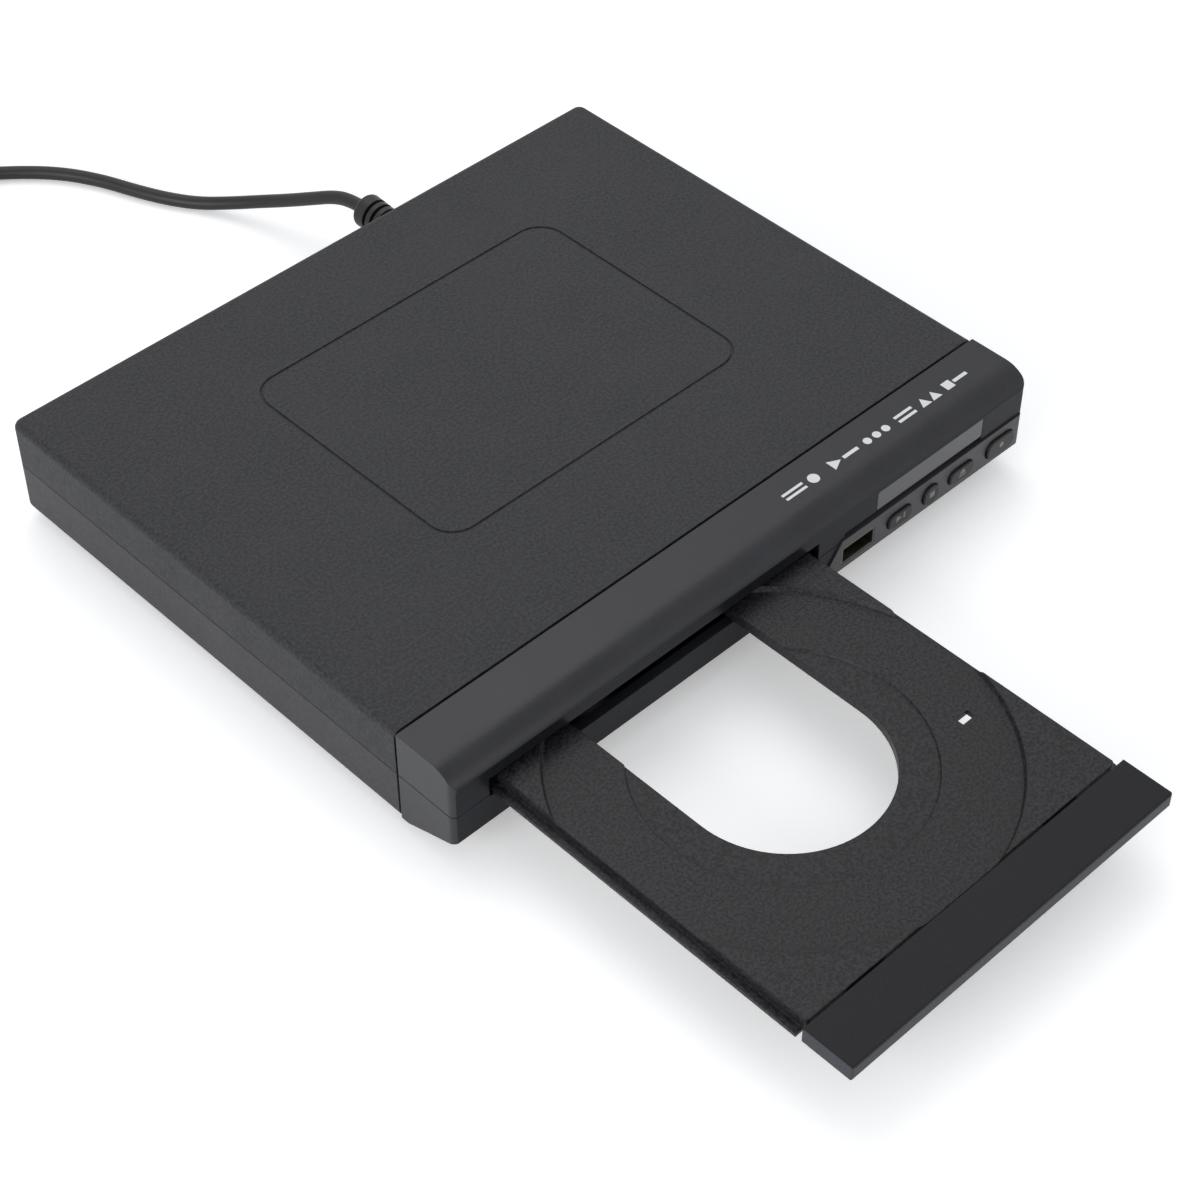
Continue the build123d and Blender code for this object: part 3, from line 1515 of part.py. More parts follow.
def make_tie():
    """Flat band round the wound turns, resting on the table."""
    inner = coil_outer_r - coil_pitch * (coil_layer_turns + 0.25) - cord_r - tie_gap
    outer = coil_outer_r + cord_r + tie_gap
    top = coil_lie_z + coil_pitch + cord_r + tie_gap
    bore_z0 = table_z + tie_t
    ring = block(inner - tie_t, outer + tie_t, -tie_w / 2, tie_w / 2, table_z, top + tie_t)
    ring = fillet(ring.edges().filter_by(Axis.Y), 1.6)
    ring -= fillet(block(inner, outer, -tie_w, tie_w, bore_z0, top).edges().filter_by(Axis.Y),
                   0.8)
    return Pos(*coil_centre, 0) * Rot(0, 0, tie_deg) * ring


def plug_place(start, end):
    """Frame at the cord's end with X along the cord's way and Z up."""
    way = (end - start).normalized()
    return Location(Plane(origin=end, x_dir=way, z_dir=(0, 0, 1)))


def make_plug(place):
    """Moulded plug: ribbed neck, tapered body and a flat face with two slots."""
    neck = Pos(plug_neck_l / 2, 0, 0) * Rot(0, 90, 0) * Cone(cord_r + 0.7, plug_neck_r,
                                                            plug_neck_l)
    for step in range(3):
        ring_x = 2.0 + 2.4 * step
        ring = Pos(ring_x, 0, 0) * Rot(0, 90, 0) * Cylinder(plug_neck_r + 1, 0.8)
        neck -= ring - Pos(ring_x, 0, 0) * Rot(0, 90, 0) * Cylinder(cord_r + 0.3, 1)
    back = Plane(origin=(plug_neck_l, 0, 0), x_dir=(0, 1, 0), z_dir=(1, 0, 0))
    front = Plane(origin=(plug_neck_l + plug_l, 0, 0), x_dir=(0, 1, 0), z_dir=(1, 0, 0))
    body = loft([back * RectangleRounded(plug_w * 0.62, plug_h * 0.86, 2.5),
                 front * RectangleRounded(plug_w, plug_h, 2.5)])
    body += neck
    for side in (-1, 1):
        body -= blade(side)
    return place * body


def blade(side):
    x0 = plug_neck_l + plug_l - 6
    x1 = plug_neck_l + plug_l + blade_l
    y = side * blade_pitch / 2
    bar = block(x0, x1, y - blade_t / 2, y + blade_t / 2, -blade_w / 2, blade_w / 2)
    return fillet(bar.edges().filter_by(Axis.Y).group_by(Axis.X)[-1], 1.4)


def make_boot():
    """Ribbed strain relief held in the back wall, with a thicker collar near its end."""
    inside = rod_y(boot_x, boot_z, back_in_y - touch_gap - boot_flange_t,
                   back_in_y - touch_gap, boot_flange_r)
    neck = rod_y(boot_x, boot_z, back_in_y - touch_gap - 0.5, shell_d + touch_gap + 0.5,
                 boot_neck_r)
    outside = rod_y(boot_x, boot_z, shell_d + touch_gap, shell_d + touch_gap + 2,
                    boot_flange_r)
    outline = Polyline((0, shell_d + touch_gap), (boot_root_r, shell_d + touch_gap),
                       (boot_tip_r, boot_end_y), (0, boot_end_y), close=True)
    taper = revolve(Pos(boot_x, 0, boot_z) * make_face(outline),
                    axis=Axis((boot_x, 0, boot_z), (0, 1, 0)))
    taper = fillet(taper.edges().group_by(Axis.Y)[-1], boot_tip_round)
    body = inside + neck + outside + taper
    for rib in range(boot_ribs):
        y = shell_d + 4.4 + rib * boot_rib_pitch
        ring = rod_y(boot_x, boot_z, y, y + boot_rib_gap, boot_flange_r + 2)
        body -= ring - rod_y(boot_x, boot_z, y - 1, y + boot_rib_gap + 1, boot_neck_r)
    return body


# ---------------------------------------------------------------- save every node
usb_x = panel_places()[0]
save("bottom_case", make_bottom_case())
save("top_cover", make_top_cover())
save("upper_bezel", make_upper_bezel())
save("lower_bezel", make_lower_bezel())
save("button_panel", make_button_panel())
save("display_window", make_window())
for key_name, key_x, key_w, key_h in keys():
    save(key_name, make_key(key_x, key_w, key_h))
save("front_board", make_front_board())
save("key_switches", *make_switches())
save("digit_display", make_display())
save("infrared_receiver", make_receiver())
save("front_board_screws", *make_front_screws())
save("usb_socket", make_usb_socket())
save("usb_board", make_usb_board())
save("disc_tray", make_tray())
save("tray_door", make_door())
save("loader_frame", make_loader_frame())
save("loading_gear", make_loading_gear())
save("drive_pulley", make_drive_pulley())
save("motor_pulley", make_motor_pulley())
save("loading_belt", make_belt())
save("loading_motor", make_loading_motor())
save("traverse_deck", tilt(make_traverse_deck()))
save("guide_rods", *[tilt(rod) for rod in make_rods()])
save("spindle_motor", tilt(make_spindle_motor()))
save("turntable", tilt(make_turntable()))
save("pickup_sled", tilt(make_pickup()))
save("pickup_lens", tilt(make_lens()))
save("feed_gear", tilt(make_feed_gear()))
save("feed_pinion", tilt(make_feed_pinion()))
save("feed_motor", tilt(make_feed_motor()))
save("clamp_bridge", make_bridge())
save("disc_clamp", make_puck())
save("bridge_screws", *make_bridge_screws())
save("loader_screws", *make_loader_screws())
save("main_board", make_board(main_y0, main_y1))
save("chips", *make_chips())
save("power_board", make_board(power_y0, power_y1))
save("transformer", make_transformer())
save("capacitors", *make_capacitors())
save("heat_sink", make_heat_sink())
save("fuse", make_fuse())
save("mains_connector", make_mains_connector())
save("board_screws", *make_board_screws())
save("jack_sockets", *make_jacks())
save("jack_board", make_jack_board())
save("case_screws", *make_case_screws())
save("rubber_feet", *make_feet())
save("strain_relief", make_boot())
save("mains_cord", make_cord())
save("cord_coil", make_coil())
save("cord_tie", make_tie())
plug_lead, lead_before, lead_end = make_plug_lead()
plug_frame = plug_place(lead_before, lead_end)
save("plug_lead", plug_lead)
save("mains_plug", make_plug(plug_frame))
save("plug_blades", *[plug_frame * blade(side) for side in (-1, 1)])

os.makedirs("parts", exist_ok=True)
for node, shape in pieces.items():
    export_step(shape, "parts/" + node + ".step")
print(len(pieces), "nodes")
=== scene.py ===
import json
import math

import bpy
from mathutils import Matrix, Vector


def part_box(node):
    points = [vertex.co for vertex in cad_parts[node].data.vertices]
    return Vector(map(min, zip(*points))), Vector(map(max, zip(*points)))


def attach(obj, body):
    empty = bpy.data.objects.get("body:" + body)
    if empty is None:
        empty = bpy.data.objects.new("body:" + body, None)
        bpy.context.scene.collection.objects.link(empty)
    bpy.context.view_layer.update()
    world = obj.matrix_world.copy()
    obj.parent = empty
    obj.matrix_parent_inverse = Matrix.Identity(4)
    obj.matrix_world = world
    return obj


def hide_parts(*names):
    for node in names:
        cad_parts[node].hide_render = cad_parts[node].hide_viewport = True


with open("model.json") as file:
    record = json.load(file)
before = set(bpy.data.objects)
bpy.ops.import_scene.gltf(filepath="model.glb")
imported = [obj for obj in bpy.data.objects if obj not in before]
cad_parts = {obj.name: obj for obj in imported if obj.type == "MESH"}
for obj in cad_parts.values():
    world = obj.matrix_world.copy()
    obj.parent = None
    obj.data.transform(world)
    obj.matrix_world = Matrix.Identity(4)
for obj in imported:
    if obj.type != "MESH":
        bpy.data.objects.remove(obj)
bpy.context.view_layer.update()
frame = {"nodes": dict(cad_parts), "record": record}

MM = 0.001


def middle_of(node):
    """Middle of a node's box, in metres."""
    low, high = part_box(node)
    return [(first + last) / 2 for first, last in zip(low, high)]


table_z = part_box("rubber_feet")[0].z


# ------------------------------------------------------------------ node helpers
def new_material(name):
    """A fresh material with one shader."""
    material = bpy.data.materials.new(name)
    material.use_nodes = True
    nodes = material.node_tree.nodes
    nodes.clear()
    output = nodes.new("ShaderNodeOutputMaterial")
    shader = nodes.new("ShaderNodeBsdfPrincipled")
    material.node_tree.links.new(shader.outputs["BSDF"], output.inputs["Surface"])
    return material, shader


def add(material, kind, **values):
    """A node; each value is one of its inputs or one of its settings."""
    node = material.node_tree.nodes.new(kind)
    for name, value in values.items():
        if name in node.inputs:
            node.inputs[name].default_value = value
        else:
            setattr(node, name, value)
    return node


def join(material, source, target):
    material.node_tree.links.new(source, target)


def place_of(material):
    """Place on the piece, in metres."""
    return add(material, "ShaderNodeTexCoord").outputs["Object"]


def noise(material, scale, detail=4.0, roughness=0.6):
    """Noise in the piece's own space, scale being features a metre."""
    node = add(material, "ShaderNodeTexNoise", Scale=scale, Detail=detail)
    node.inputs["Roughness"].default_value = roughness
    join(material, place_of(material), node.inputs["Vector"])
    return node.outputs["Fac"]


def between(material, fac, low, high, from_low=0.3, from_high=0.7):
    """Map a value from one range to another."""
    node = add(material, "ShaderNodeMapRange")
    node.inputs["From Min"].default_value = from_low
    node.inputs["From Max"].default_value = from_high
    node.inputs["To Min"].default_value = low
    node.inputs["To Max"].default_value = high
    join(material, fac, node.inputs["Value"])
    return node.outputs["Result"]


def tint(material, fac, dark, light, low=0.3, high=0.7):
    """Colour ramp between two tones, driven by a value."""
    node = add(material, "ShaderNodeValToRGB")
    ramp = node.color_ramp
    ramp.elements[0].position = low
    ramp.elements[1].position = high
    ramp.elements[0].color = (*dark, 1)
    ramp.elements[1].color = (*light, 1)
    join(material, fac, node.inputs["Fac"])
    return node.outputs["Color"]


def shade(colour, factor):
    """The colour made lighter or darker by a factor."""
    return tuple(min(1.0, part * factor) for part in colour)


def bump(material, shader, height, strength, distance, edge=0.0):
    """Relief from a height, on edges that are rounded over by a small radius."""
    node = add(material, "ShaderNodeBump", Strength=strength, Distance=distance)
    join(material, height, node.inputs["Height"])
    if edge:
        soft_edge = add(material, "ShaderNodeBevel", Radius=edge, samples=4)
        join(material, soft_edge.outputs["Normal"], node.inputs["Normal"])
    join(material, node.outputs["Normal"], shader.inputs["Normal"])


def maths(material, operation, first, second):
    """One maths node; each side is an output or a plain number."""
    node = add(material, "ShaderNodeMath", operation=operation)
    for socket, value in zip(node.inputs, (first, second)):
        if isinstance(value, (int, float)):
            socket.default_value = value
        else:
            join(material, value, socket)
    return node.outputs["Value"]


def mark_mask(material, shapes, letters, face):
    """One inside any of the printed shapes, nought elsewhere.

    shapes is a list of (kind, u, v, half_u, half_v) in millimetres, and letters names the two
    coordinates that u and v stand for. face is (letter, comparison, millimetres) and keeps the
    print on one face.
    """
    split = add(material, "ShaderNodeSeparateXYZ")
    join(material, place_of(material), split.inputs["Vector"])
    total = 0.0
    for kind, u, v, half_u, half_v in shapes:
        # Distance from the middle along each coordinate, as a share of the half size.
        sides = []
        for letter, middle, half in zip(letters, (u, v), (half_u, half_v)):
            away = maths(material, "SUBTRACT", split.outputs[letter.upper()], middle * MM)
            sides.append(maths(material, "DIVIDE", away, half * MM))
        flat = [maths(material, "ABSOLUTE", side, 0.0) for side in sides]
        if kind == "bar":
            reach = maths(material, "MAXIMUM", *flat)
        elif kind == "disc":
            squares = [maths(material, "MULTIPLY", side, side) for side in sides]
            reach = maths(material, "ADD", *squares)
        else:
            way, across = (0, 1) if kind == "arrow" else (1, 0)
            slope = maths(material, "MULTIPLY_ADD", sides[way], 0.5)
            slope.node.inputs[2].default_value = 0.5
            slope = maths(material, "ADD", slope, flat[across])
            reach = maths(material, "MAXIMUM", slope, flat[way])
        inside = maths(material, "LESS_THAN", reach, 1.0)
        total = maths(material, "MAXIMUM", inside, total)
    letter, comparison, limit = face
    on_face = maths(material, comparison, split.outputs[letter.upper()], limit * MM)
    return maths(material, "MULTIPLY", total, on_face)


def normal_part(material, letter):
    """One coordinate of the way that a face looks."""
    way = add(material, "ShaderNodeSeparateXYZ")
    join(material, add(material, "ShaderNodeNewGeometry").outputs["Normal"],
         way.inputs["Vector"])
    return way.outputs[letter.upper()]


# What every plastic shares: the specks against the grain, ramps, and the swing in gloss.
speck_grain_share = 0.8
speck_ramp = (0.38, 0.62)
painted_side_light_ramp = (0.5, 0.8)
# Painted light: the ramp over which upright faces are made lighter than flat ones.
painted_front_shade_ramp = (-0.97, -0.8)
# Painted shade: the ramp over which faces that look to the front lose specular level.
gloss_swing = (-0.04, 0.05)


def plastic(name, colour, rough=0.5, specular=0.4, grain=2600.0, relief=0.25, depth=0.00004,
            mottle=0.12, patch=45.0, speck=0.1, edge=0.0003, marks=None, ink_tone=0.7,
            painted_side_light=None, painted_front_shade=None):
    """Moulded plastic: fine grain in relief, faint patches in tone and in gloss.

    marks are printed shapes; the side factor is painted light, making the upright faces lighter;
    and the front level is painted shade, a lower specular level for the faces that look to the
    front.
    """
    material, shader = new_material(name)
    patches = noise(material, patch, 3.0)
    specks = noise(material, grain * speck_grain_share, 2.0)
    tone = add(material, "ShaderNodeMix", data_type="RGBA", blend_type="MULTIPLY")
    tone.inputs["Factor"].default_value = 1.0
    join(material, tint(material, patches, shade(colour, 1 - mottle), shade(colour, 1 + mottle)),
         tone.inputs["A"])
    join(material, tint(material, specks, (1 - speck,) * 3, (1 + speck,) * 3, *speck_ramp),
         tone.inputs["B"])
    surface = tone.outputs["Result"]
    # Painted light: upright faces are made lighter by a factor, by how steeply they stand.
    if painted_side_light:
        steep = maths(material, "ABSOLUTE", normal_part(material, "z"), 0.0)
        side_light_paint = add(material, "ShaderNodeMix", data_type="RGBA", blend_type="MULTIPLY")
        side_light_paint.inputs["Factor"].default_value = 1.0
        join(material, surface, side_light_paint.inputs["A"])
        join(material, tint(material, steep, (painted_side_light,) * 3, (1, 1, 1), *painted_side_light_ramp),
             side_light_paint.inputs["B"])
        surface = side_light_paint.outputs["Result"]
    if marks:
        printed = add(material, "ShaderNodeMix", data_type="RGBA")
        join(material, mark_mask(material, *marks), printed.inputs["Factor"])
        join(material, surface, printed.inputs["A"])
        printed.inputs["B"].default_value = (ink_tone, ink_tone, ink_tone, 1)
        surface = printed.outputs["Result"]
    join(material, surface, shader.inputs["Base Color"])
    join(material, between(material, patches, *(rough + swing for swing in gloss_swing)),
         shader.inputs["Roughness"])
    shader.inputs["Specular IOR Level"].default_value = specular
    # Painted shade: faces that look to the front get a lower specular level, so they reflect
    # less and look darker.
    if painted_front_shade:
        join(material, between(material, normal_part(material, "y"), painted_front_shade, specular,
                               *painted_front_shade_ramp), shader.inputs["Specular IOR Level"])
    bump(material, shader, noise(material, grain, 3.0, 0.7), relief, depth, edge)
    return material


def metal(name, colour, rough=0.35, brushed=(400.0, 400.0, 4000.0)):
    """Plated or drawn metal with fine lines along one way."""
    material, shader = new_material(name)
    mapping = add(material, "ShaderNodeMapping")
    mapping.inputs["Scale"].default_value = brushed
    join(material, place_of(material), mapping.inputs["Vector"])
    lines = add(material, "ShaderNodeTexNoise", Scale=1.0, Detail=3.0)
    join(material, mapping.outputs["Vector"], lines.inputs["Vector"])
    join(material, tint(material, lines.outputs["Fac"], shade(colour, 0.8), colour),
         shader.inputs["Base Color"])
    join(material, between(material, lines.outputs["Fac"], rough - 0.08, rough + 0.1),
         shader.inputs["Roughness"])
    shader.inputs["Metallic"].default_value = 1.0
    bump(material, shader, lines.outputs["Fac"], 0.2, 0.00002)
    return material


def clear(name, colour, rough=0.05, alpha=0.35):
    """Thin tinted clear moulding."""
    material, shader = new_material(name)
    smears = noise(material, 120.0, 3.0)
    join(material, tint(material, smears, shade(colour, 0.9), colour),
         shader.inputs["Base Color"])
    join(material, between(material, smears, rough, rough + 0.06), shader.inputs["Roughness"])
    shader.inputs["Transmission Weight"].default_value = 1.0
    shader.inputs["IOR"].default_value = 1.49
    shader.inputs["Alpha"].default_value = alpha
    return material


def board_green(name):
    """Green solder mask with the pattern of tracks under it."""
    material, shader = new_material(name)
    tracks = add(material, "ShaderNodeTexBrick", Scale=420.0)
    tracks.inputs["Mortar Size"].default_value = 0.012
    join(material, place_of(material), tracks.inputs["Vector"])
    join(material, tint(material, tracks.outputs["Fac"], (0.01, 0.09, 0.035),
                        (0.02, 0.17, 0.06), 0.2, 0.8), shader.inputs["Base Color"])
    join(material, between(material, noise(material, 200.0), 0.25, 0.4),
         shader.inputs["Roughness"])
    bump(material, shader, tracks.outputs["Fac"], 0.3, 0.00005)
    return material


def banded(name, centre, bands, rough=0.4, grain=900.0):
    """Rings of colour by distance from an upright axis through a point.

    bands is a list of (outer radius, colour), from the middle outwards.
    """
    material, shader = new_material(name)
    shift = add(material, "ShaderNodeVectorMath", operation="SUBTRACT")
    shift.inputs[1].default_value = centre
    join(material, place_of(material), shift.inputs[0])
    flat = add(material, "ShaderNodeVectorMath", operation="MULTIPLY")
    flat.inputs[1].default_value = (1, 1, 0)
    join(material, shift.outputs["Vector"], flat.inputs[0])
    reach = add(material, "ShaderNodeVectorMath", operation="LENGTH")
    join(material, flat.outputs["Vector"], reach.inputs[0])
    widest = bands[-1][0]
    share = add(material, "ShaderNodeMath", operation="DIVIDE")
    share.inputs[1].default_value = widest
    join(material, reach.outputs["Value"], share.inputs[0])
    rings = add(material, "ShaderNodeValToRGB")
    rings.color_ramp.interpolation = "CONSTANT"
    rings.color_ramp.elements[0].color = (*bands[0][1], 1)
    rings.color_ramp.elements[1].position = bands[0][0] / widest
    rings.color_ramp.elements[1].color = (*bands[1][1], 1)
    for (start, _), (_, colour) in zip(bands[1:], bands[2:]):
        element = rings.color_ramp.elements.new(start / widest)
        element.color = (*colour, 1)
    join(material, share.outputs["Value"], rings.inputs["Fac"])
    join(material, rings.outputs["Color"], shader.inputs["Base Color"])
    fine = noise(material, grain)
    join(material, between(material, fine, rough - 0.05, rough + 0.08),
         shader.inputs["Roughness"])
    bump(material, shader, fine, 0.15, 0.00003)
    return material


# ------------------------------------------------------------------ camera
def look_axes(back, roll_deg):
    """Camera axes for a back vector, turned about it."""
    back = Vector(back).normalized()
    right = Vector((0, 0, 1)).cross(back).normalized()
    up = back.cross(right)
    turn = Matrix.Rotation(math.radians(roll_deg), 3, back)
    right, up = turn @ right, turn @ up
    return Matrix((right, up, back)).transposed()


camera_place = (-0.38605, -0.37721, 0.53594)
camera_back = (-0.4904, -0.5045, 0.7107)
camera_roll_deg = 0.103
camera_lens = 81.15
camera_sensor = 36.0

camera_data = bpy.data.cameras.new("camera")
camera_data.lens = camera_lens
camera_data.sensor_width = camera_sensor
camera_data.clip_start = 0.01
camera = bpy.data.objects.new("camera", camera_data)
camera.matrix_world = Matrix.Translation(camera_place) @ look_axes(
    camera_back, camera_roll_deg).to_4x4()
bpy.context.scene.collection.objects.link(camera)
bpy.context.scene.camera = camera


# ------------------------------------------------------------------ light, world and floor
world_light = 0.6
floor_glow = 0.3
floor_half = 6.0
floor_drop = 0.2 * MM
# Name, place, what it points at, size and power.
lamps = [("key", (-1.3, -0.1, 0.5), (0, 0, 0), 1.0, 10.0),
         ("fill", (0.1, -1.4, 0.6), (0, -0.05, 0), 1.0, 3.5),
         ("top", (0.3, 0.6, 1.3), (0, 0.05, 0), 1.2, 5.0)]


def seen_rays(tree):
    """One for the camera's rays and for what shines or is clear, nought for plain light."""
    rays = tree.nodes.new("ShaderNodeLightPath")
    total = rays.outputs["Is Camera Ray"]
    for name in ("Is Glossy Ray", "Is Transmission Ray"):
        both = tree.nodes.new("ShaderNodeMath")
        both.operation = "MAXIMUM"
        tree.links.new(total, both.inputs[0])
        tree.links.new(rays.outputs[name], both.inputs[1])
        total = both.outputs[0]
    return total


def make_world():
    """White where it is seen, and soft light where it lights."""
    world = bpy.data.worlds.new("world")
    bpy.context.scene.world = world
    world.use_nodes = True
    nodes, links = world.node_tree.nodes, world.node_tree.links
    nodes.clear()
    output = nodes.new("ShaderNodeOutputWorld")
    seen = nodes.new("ShaderNodeBackground")
    seen.inputs["Color"].default_value = (1, 1, 1, 1)
    soft = nodes.new("ShaderNodeBackground")
    soft.inputs["Color"].default_value = (0.9, 0.92, 0.95, 1)
    soft.inputs["Strength"].default_value = world_light
    choose = nodes.new("ShaderNodeMixShader")
    links.new(seen_rays(world.node_tree), choose.inputs["Fac"])
    links.new(soft.outputs[0], choose.inputs[1])
    links.new(seen.outputs[0], choose.inputs[2])
    links.new(choose.outputs[0], output.inputs["Surface"])


def make_light(name, place, target, size, power):
    """A round soft lamp."""
    data = bpy.data.lights.new(name, "AREA")
    data.shape = "DISK"
    data.size = size
    data.energy = power
    lamp = bpy.data.objects.new(name, data)
    way = Vector(place) - Vector(target)
    turn = way.to_track_quat("Z", "Y").to_matrix().to_4x4()
    lamp.matrix_world = Matrix.Translation(place) @ turn
    bpy.context.scene.collection.objects.link(lamp)


def make_floor():
    """Pale floor that keeps the shadow, a little brighter where it is seen."""
    mesh = bpy.data.meshes.new("floor")
    signs = [(-1, -1), (1, -1), (1, 1), (-1, 1)]
    corners = [(floor_half * x, floor_half * y, table_z - floor_drop) for x, y in signs]
    mesh.from_pydata(corners, [], [(0, 1, 2, 3)])
    floor = bpy.data.objects.new("floor", mesh)
    bpy.context.scene.collection.objects.link(floor)
    material, shader = new_material("floor")
    join(material, tint(material, noise(material, 3.0), (0.93, 0.93, 0.93),
                        (0.95, 0.95, 0.95)), shader.inputs["Base Color"])
    shader.inputs["Roughness"].default_value = 0.9
    shader.inputs["Specular IOR Level"].default_value = 0.0
    shader.inputs["Emission Color"].default_value = (1, 1, 1, 1)
    seen = seen_rays(material.node_tree)
    join(material, maths(material, "MULTIPLY", seen, floor_glow),
         shader.inputs["Emission Strength"])
    mesh.materials.append(material)


make_world()
for settings in lamps:
    make_light(*settings)
make_floor()
bpy.context.scene.view_settings.view_transform = "Standard"


# ------------------------------------------------------------------ mains cord
cord_d = 4.4 * MM
boot_x, _, boot_z = middle_of("strain_relief")
boot_end_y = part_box("strain_relief")[1].y
lie_z = table_z + cord_d / 2
coil_pitch = 4.9 * MM
coil_lift = 1.2 * MM
coil_low_z = lie_z + coil_lift
coil_centre = Vector((-79.0, 282.9)) * MM
coil_outer_r = 33.4 * MM
coil_start_deg = 57.0
coil_layer_turns = 3.75
coil_end_run = 4.4 * MM
cord_last_run = 14 * MM
points_a_turn = 16
plug_h = 11 * MM
plug_axis_z = table_z + plug_h / 2
lead_lean = 0.12 * MM


def cord_route():
    """Points of the cord's way from the relief down to the table and off to the left."""
    lying = [(14.9, 222.1), (9.2, 230.9), (4.3, 241.5), (-0.6, 254.5), (-7.9, 267.1),
             (-18.6, 278.1), (-31.2, 287.9)]
    falling = [(35.5, 168.1, 21.6), (34.4, 175.1, 20.1), (31.6, 183.7, 16.2),
               (28.9, 193.1, 11.8), (25.4, 202.9, 7.9), (20.6, 212.5, 4.6)]
    points = [Vector((boot_x, boot_end_y, boot_z))]
    points += [Vector(point) * MM for point in falling]
    points += [Vector((x * MM, y * MM, lie_z)) for x, y in lying]
    return points


def coil_points():
    """The coil's turns: in along the table, up, and out again on top of themselves."""
    steps = round(coil_layer_turns * points_a_turn)
    climb = points_a_turn // 2
    drop = coil_pitch / points_a_turn
    inner = coil_outer_r - drop * steps
    stations = [(coil_outer_r - drop * step, coil_low_z) for step in range(steps + 1)]
    for step in range(1, climb):
        rise = 0.5 - 0.5 * math.cos(math.pi * step / climb)
        sink = drop * min(step, climb - step)
        stations.append((inner - sink, coil_low_z + coil_pitch * rise))
    stations += [(inner + drop * step, coil_low_z + coil_pitch) for step in range(steps + 1)]
    points = []
    for step, (radius, z) in enumerate(stations):
        angle = math.radians(coil_start_deg) + 2 * math.pi * step / points_a_turn
        points.append(Vector((coil_centre.x + radius * math.cos(angle),
                              coil_centre.y + radius * math.sin(angle), z)))
    return points


def coil_way(side):
    """Unit way of the coil where it starts (side -1, winding in) and ends (side 1)."""
    angle = math.radians(coil_start_deg)
    outward = Vector((math.cos(angle), math.sin(angle), 0))
    round_way = Vector((-math.sin(angle), math.cos(angle), 0))
    spread = side * coil_pitch / (2 * math.pi * coil_outer_r)
    return (round_way + outward * spread).normalized()


def lead_points(start, direction):
    """Short way from the coil's last turn down to the plug on the table."""
    aside = Vector((direction.y, -direction.x, 0))
    ahead = [(9, 0), (18, 0.25), (27, 0.75), (36, 1), (45, 1)]
    points = []
    for step, (reach, share) in enumerate(ahead):
        lean = aside * (lead_lean * step * step)
        drop = Vector((0, 0, (start.z - plug_axis_z) * share))
        points.append(start + direction * (reach * MM) + lean - drop)
    return points


def make_cord():
    """The cord as one smooth curve; its points' radii carry its thickness."""
    coil = coil_points()
    first, last = coil_way(-1), coil_way(1)
    way_in = coil[0] - first * coil_end_run
    way_out = coil[-1] + last * coil_end_run
    points = cord_route() + [way_in - first * cord_last_run] + coil
    points += lead_points(way_out, last)
    curve = bpy.data.curves.new("cord", "CURVE")
    curve.dimensions = "3D"
    curve.bevel_depth = 1.0
    curve.bevel_resolution = 5
    curve.use_fill_caps = True
    spline = curve.splines.new("NURBS")
    spline.points.add(len(points) - 1)
    for control, point in zip(spline.points, points):
        control.co = (*point, 1)
        control.radius = cord_d / 2
    spline.order_u = 3
    spline.use_endpoint_u = True
    spline.resolution_u = 8
    cord = bpy.data.objects.new("cord", curve)
    bpy.context.scene.collection.objects.link(cord)
    return cord, points


cord, cord_points = make_cord()
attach(cord, "chassis")
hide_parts("mains_cord", "cord_coil", "plug_lead")

# ------------------------------------------------------------------ jacks
jack_low, jack_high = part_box("jack_sockets")
jack_collar_r = 5 * MM
jack_first_x = jack_low.x + jack_collar_r
jack_pitch = (jack_high.x - jack_low.x) / 2 - jack_collar_r
jack_z = middle_of("jack_sockets")[2]
sleeve_inner_r = 3.2 * MM
sleeve_outer_r = 4.4 * MM
jack_thirds = (0.34, 0.66)
jack_yellow = (0.55, 0.42, 0.02, 1)
jack_white = (0.6, 0.6, 0.58, 1)
jack_red = (0.5, 0.02, 0.015, 1)


def jack_material():
    """Three jacks, yellow, white and red, with a plated sleeve round each core."""
    material, shader = new_material("jacks")
    split = add(material, "ShaderNodeSeparateXYZ")
    join(material, place_of(material), split.inputs["Vector"])
    share = between(material, split.outputs["X"], 0.0, 1.0, jack_low.x, jack_high.x)
    cores = add(material, "ShaderNodeValToRGB")
    cores.color_ramp.interpolation = "CONSTANT"
    ramp = cores.color_ramp.elements
    ramp[0].color = jack_yellow
    ramp[1].position = jack_thirds[0]
    ramp[1].color = jack_white
    ramp.new(jack_thirds[1]).color = jack_red
    join(material, share, cores.inputs["Fac"])
    along = maths(material, "SUBTRACT", split.outputs["X"], jack_first_x)
    along = maths(material, "DIVIDE", along, jack_pitch)
    nearest = maths(material, "ROUND", along, 0.0)
    across = maths(material, "SUBTRACT", along, nearest)
    across = maths(material, "MULTIPLY", across, jack_pitch)
    height = maths(material, "SUBTRACT", split.outputs["Z"], jack_z)
    squares = [maths(material, "MULTIPLY", side, side) for side in (across, height)]
    reach = maths(material, "SQRT", maths(material, "ADD", *squares), 0.0)
    sleeve = maths(material, "MULTIPLY", maths(material, "GREATER_THAN", reach, sleeve_inner_r),
                   maths(material, "LESS_THAN", reach, sleeve_outer_r))
    finish = add(material, "ShaderNodeMix", data_type="RGBA")
    join(material, sleeve, finish.inputs["Factor"])
    join(material, cores.outputs["Color"], finish.inputs["A"])
    finish.inputs["B"].default_value = jack_white
    fine = noise(material, 900.0)
    join(material, finish.outputs["Result"], shader.inputs["Base Color"])
    join(material, sleeve, shader.inputs["Metallic"])
    join(material, between(material, fine, 0.3, 0.42), shader.inputs["Roughness"])
    bump(material, shader, fine, 0.15, 0.00003)
    return material


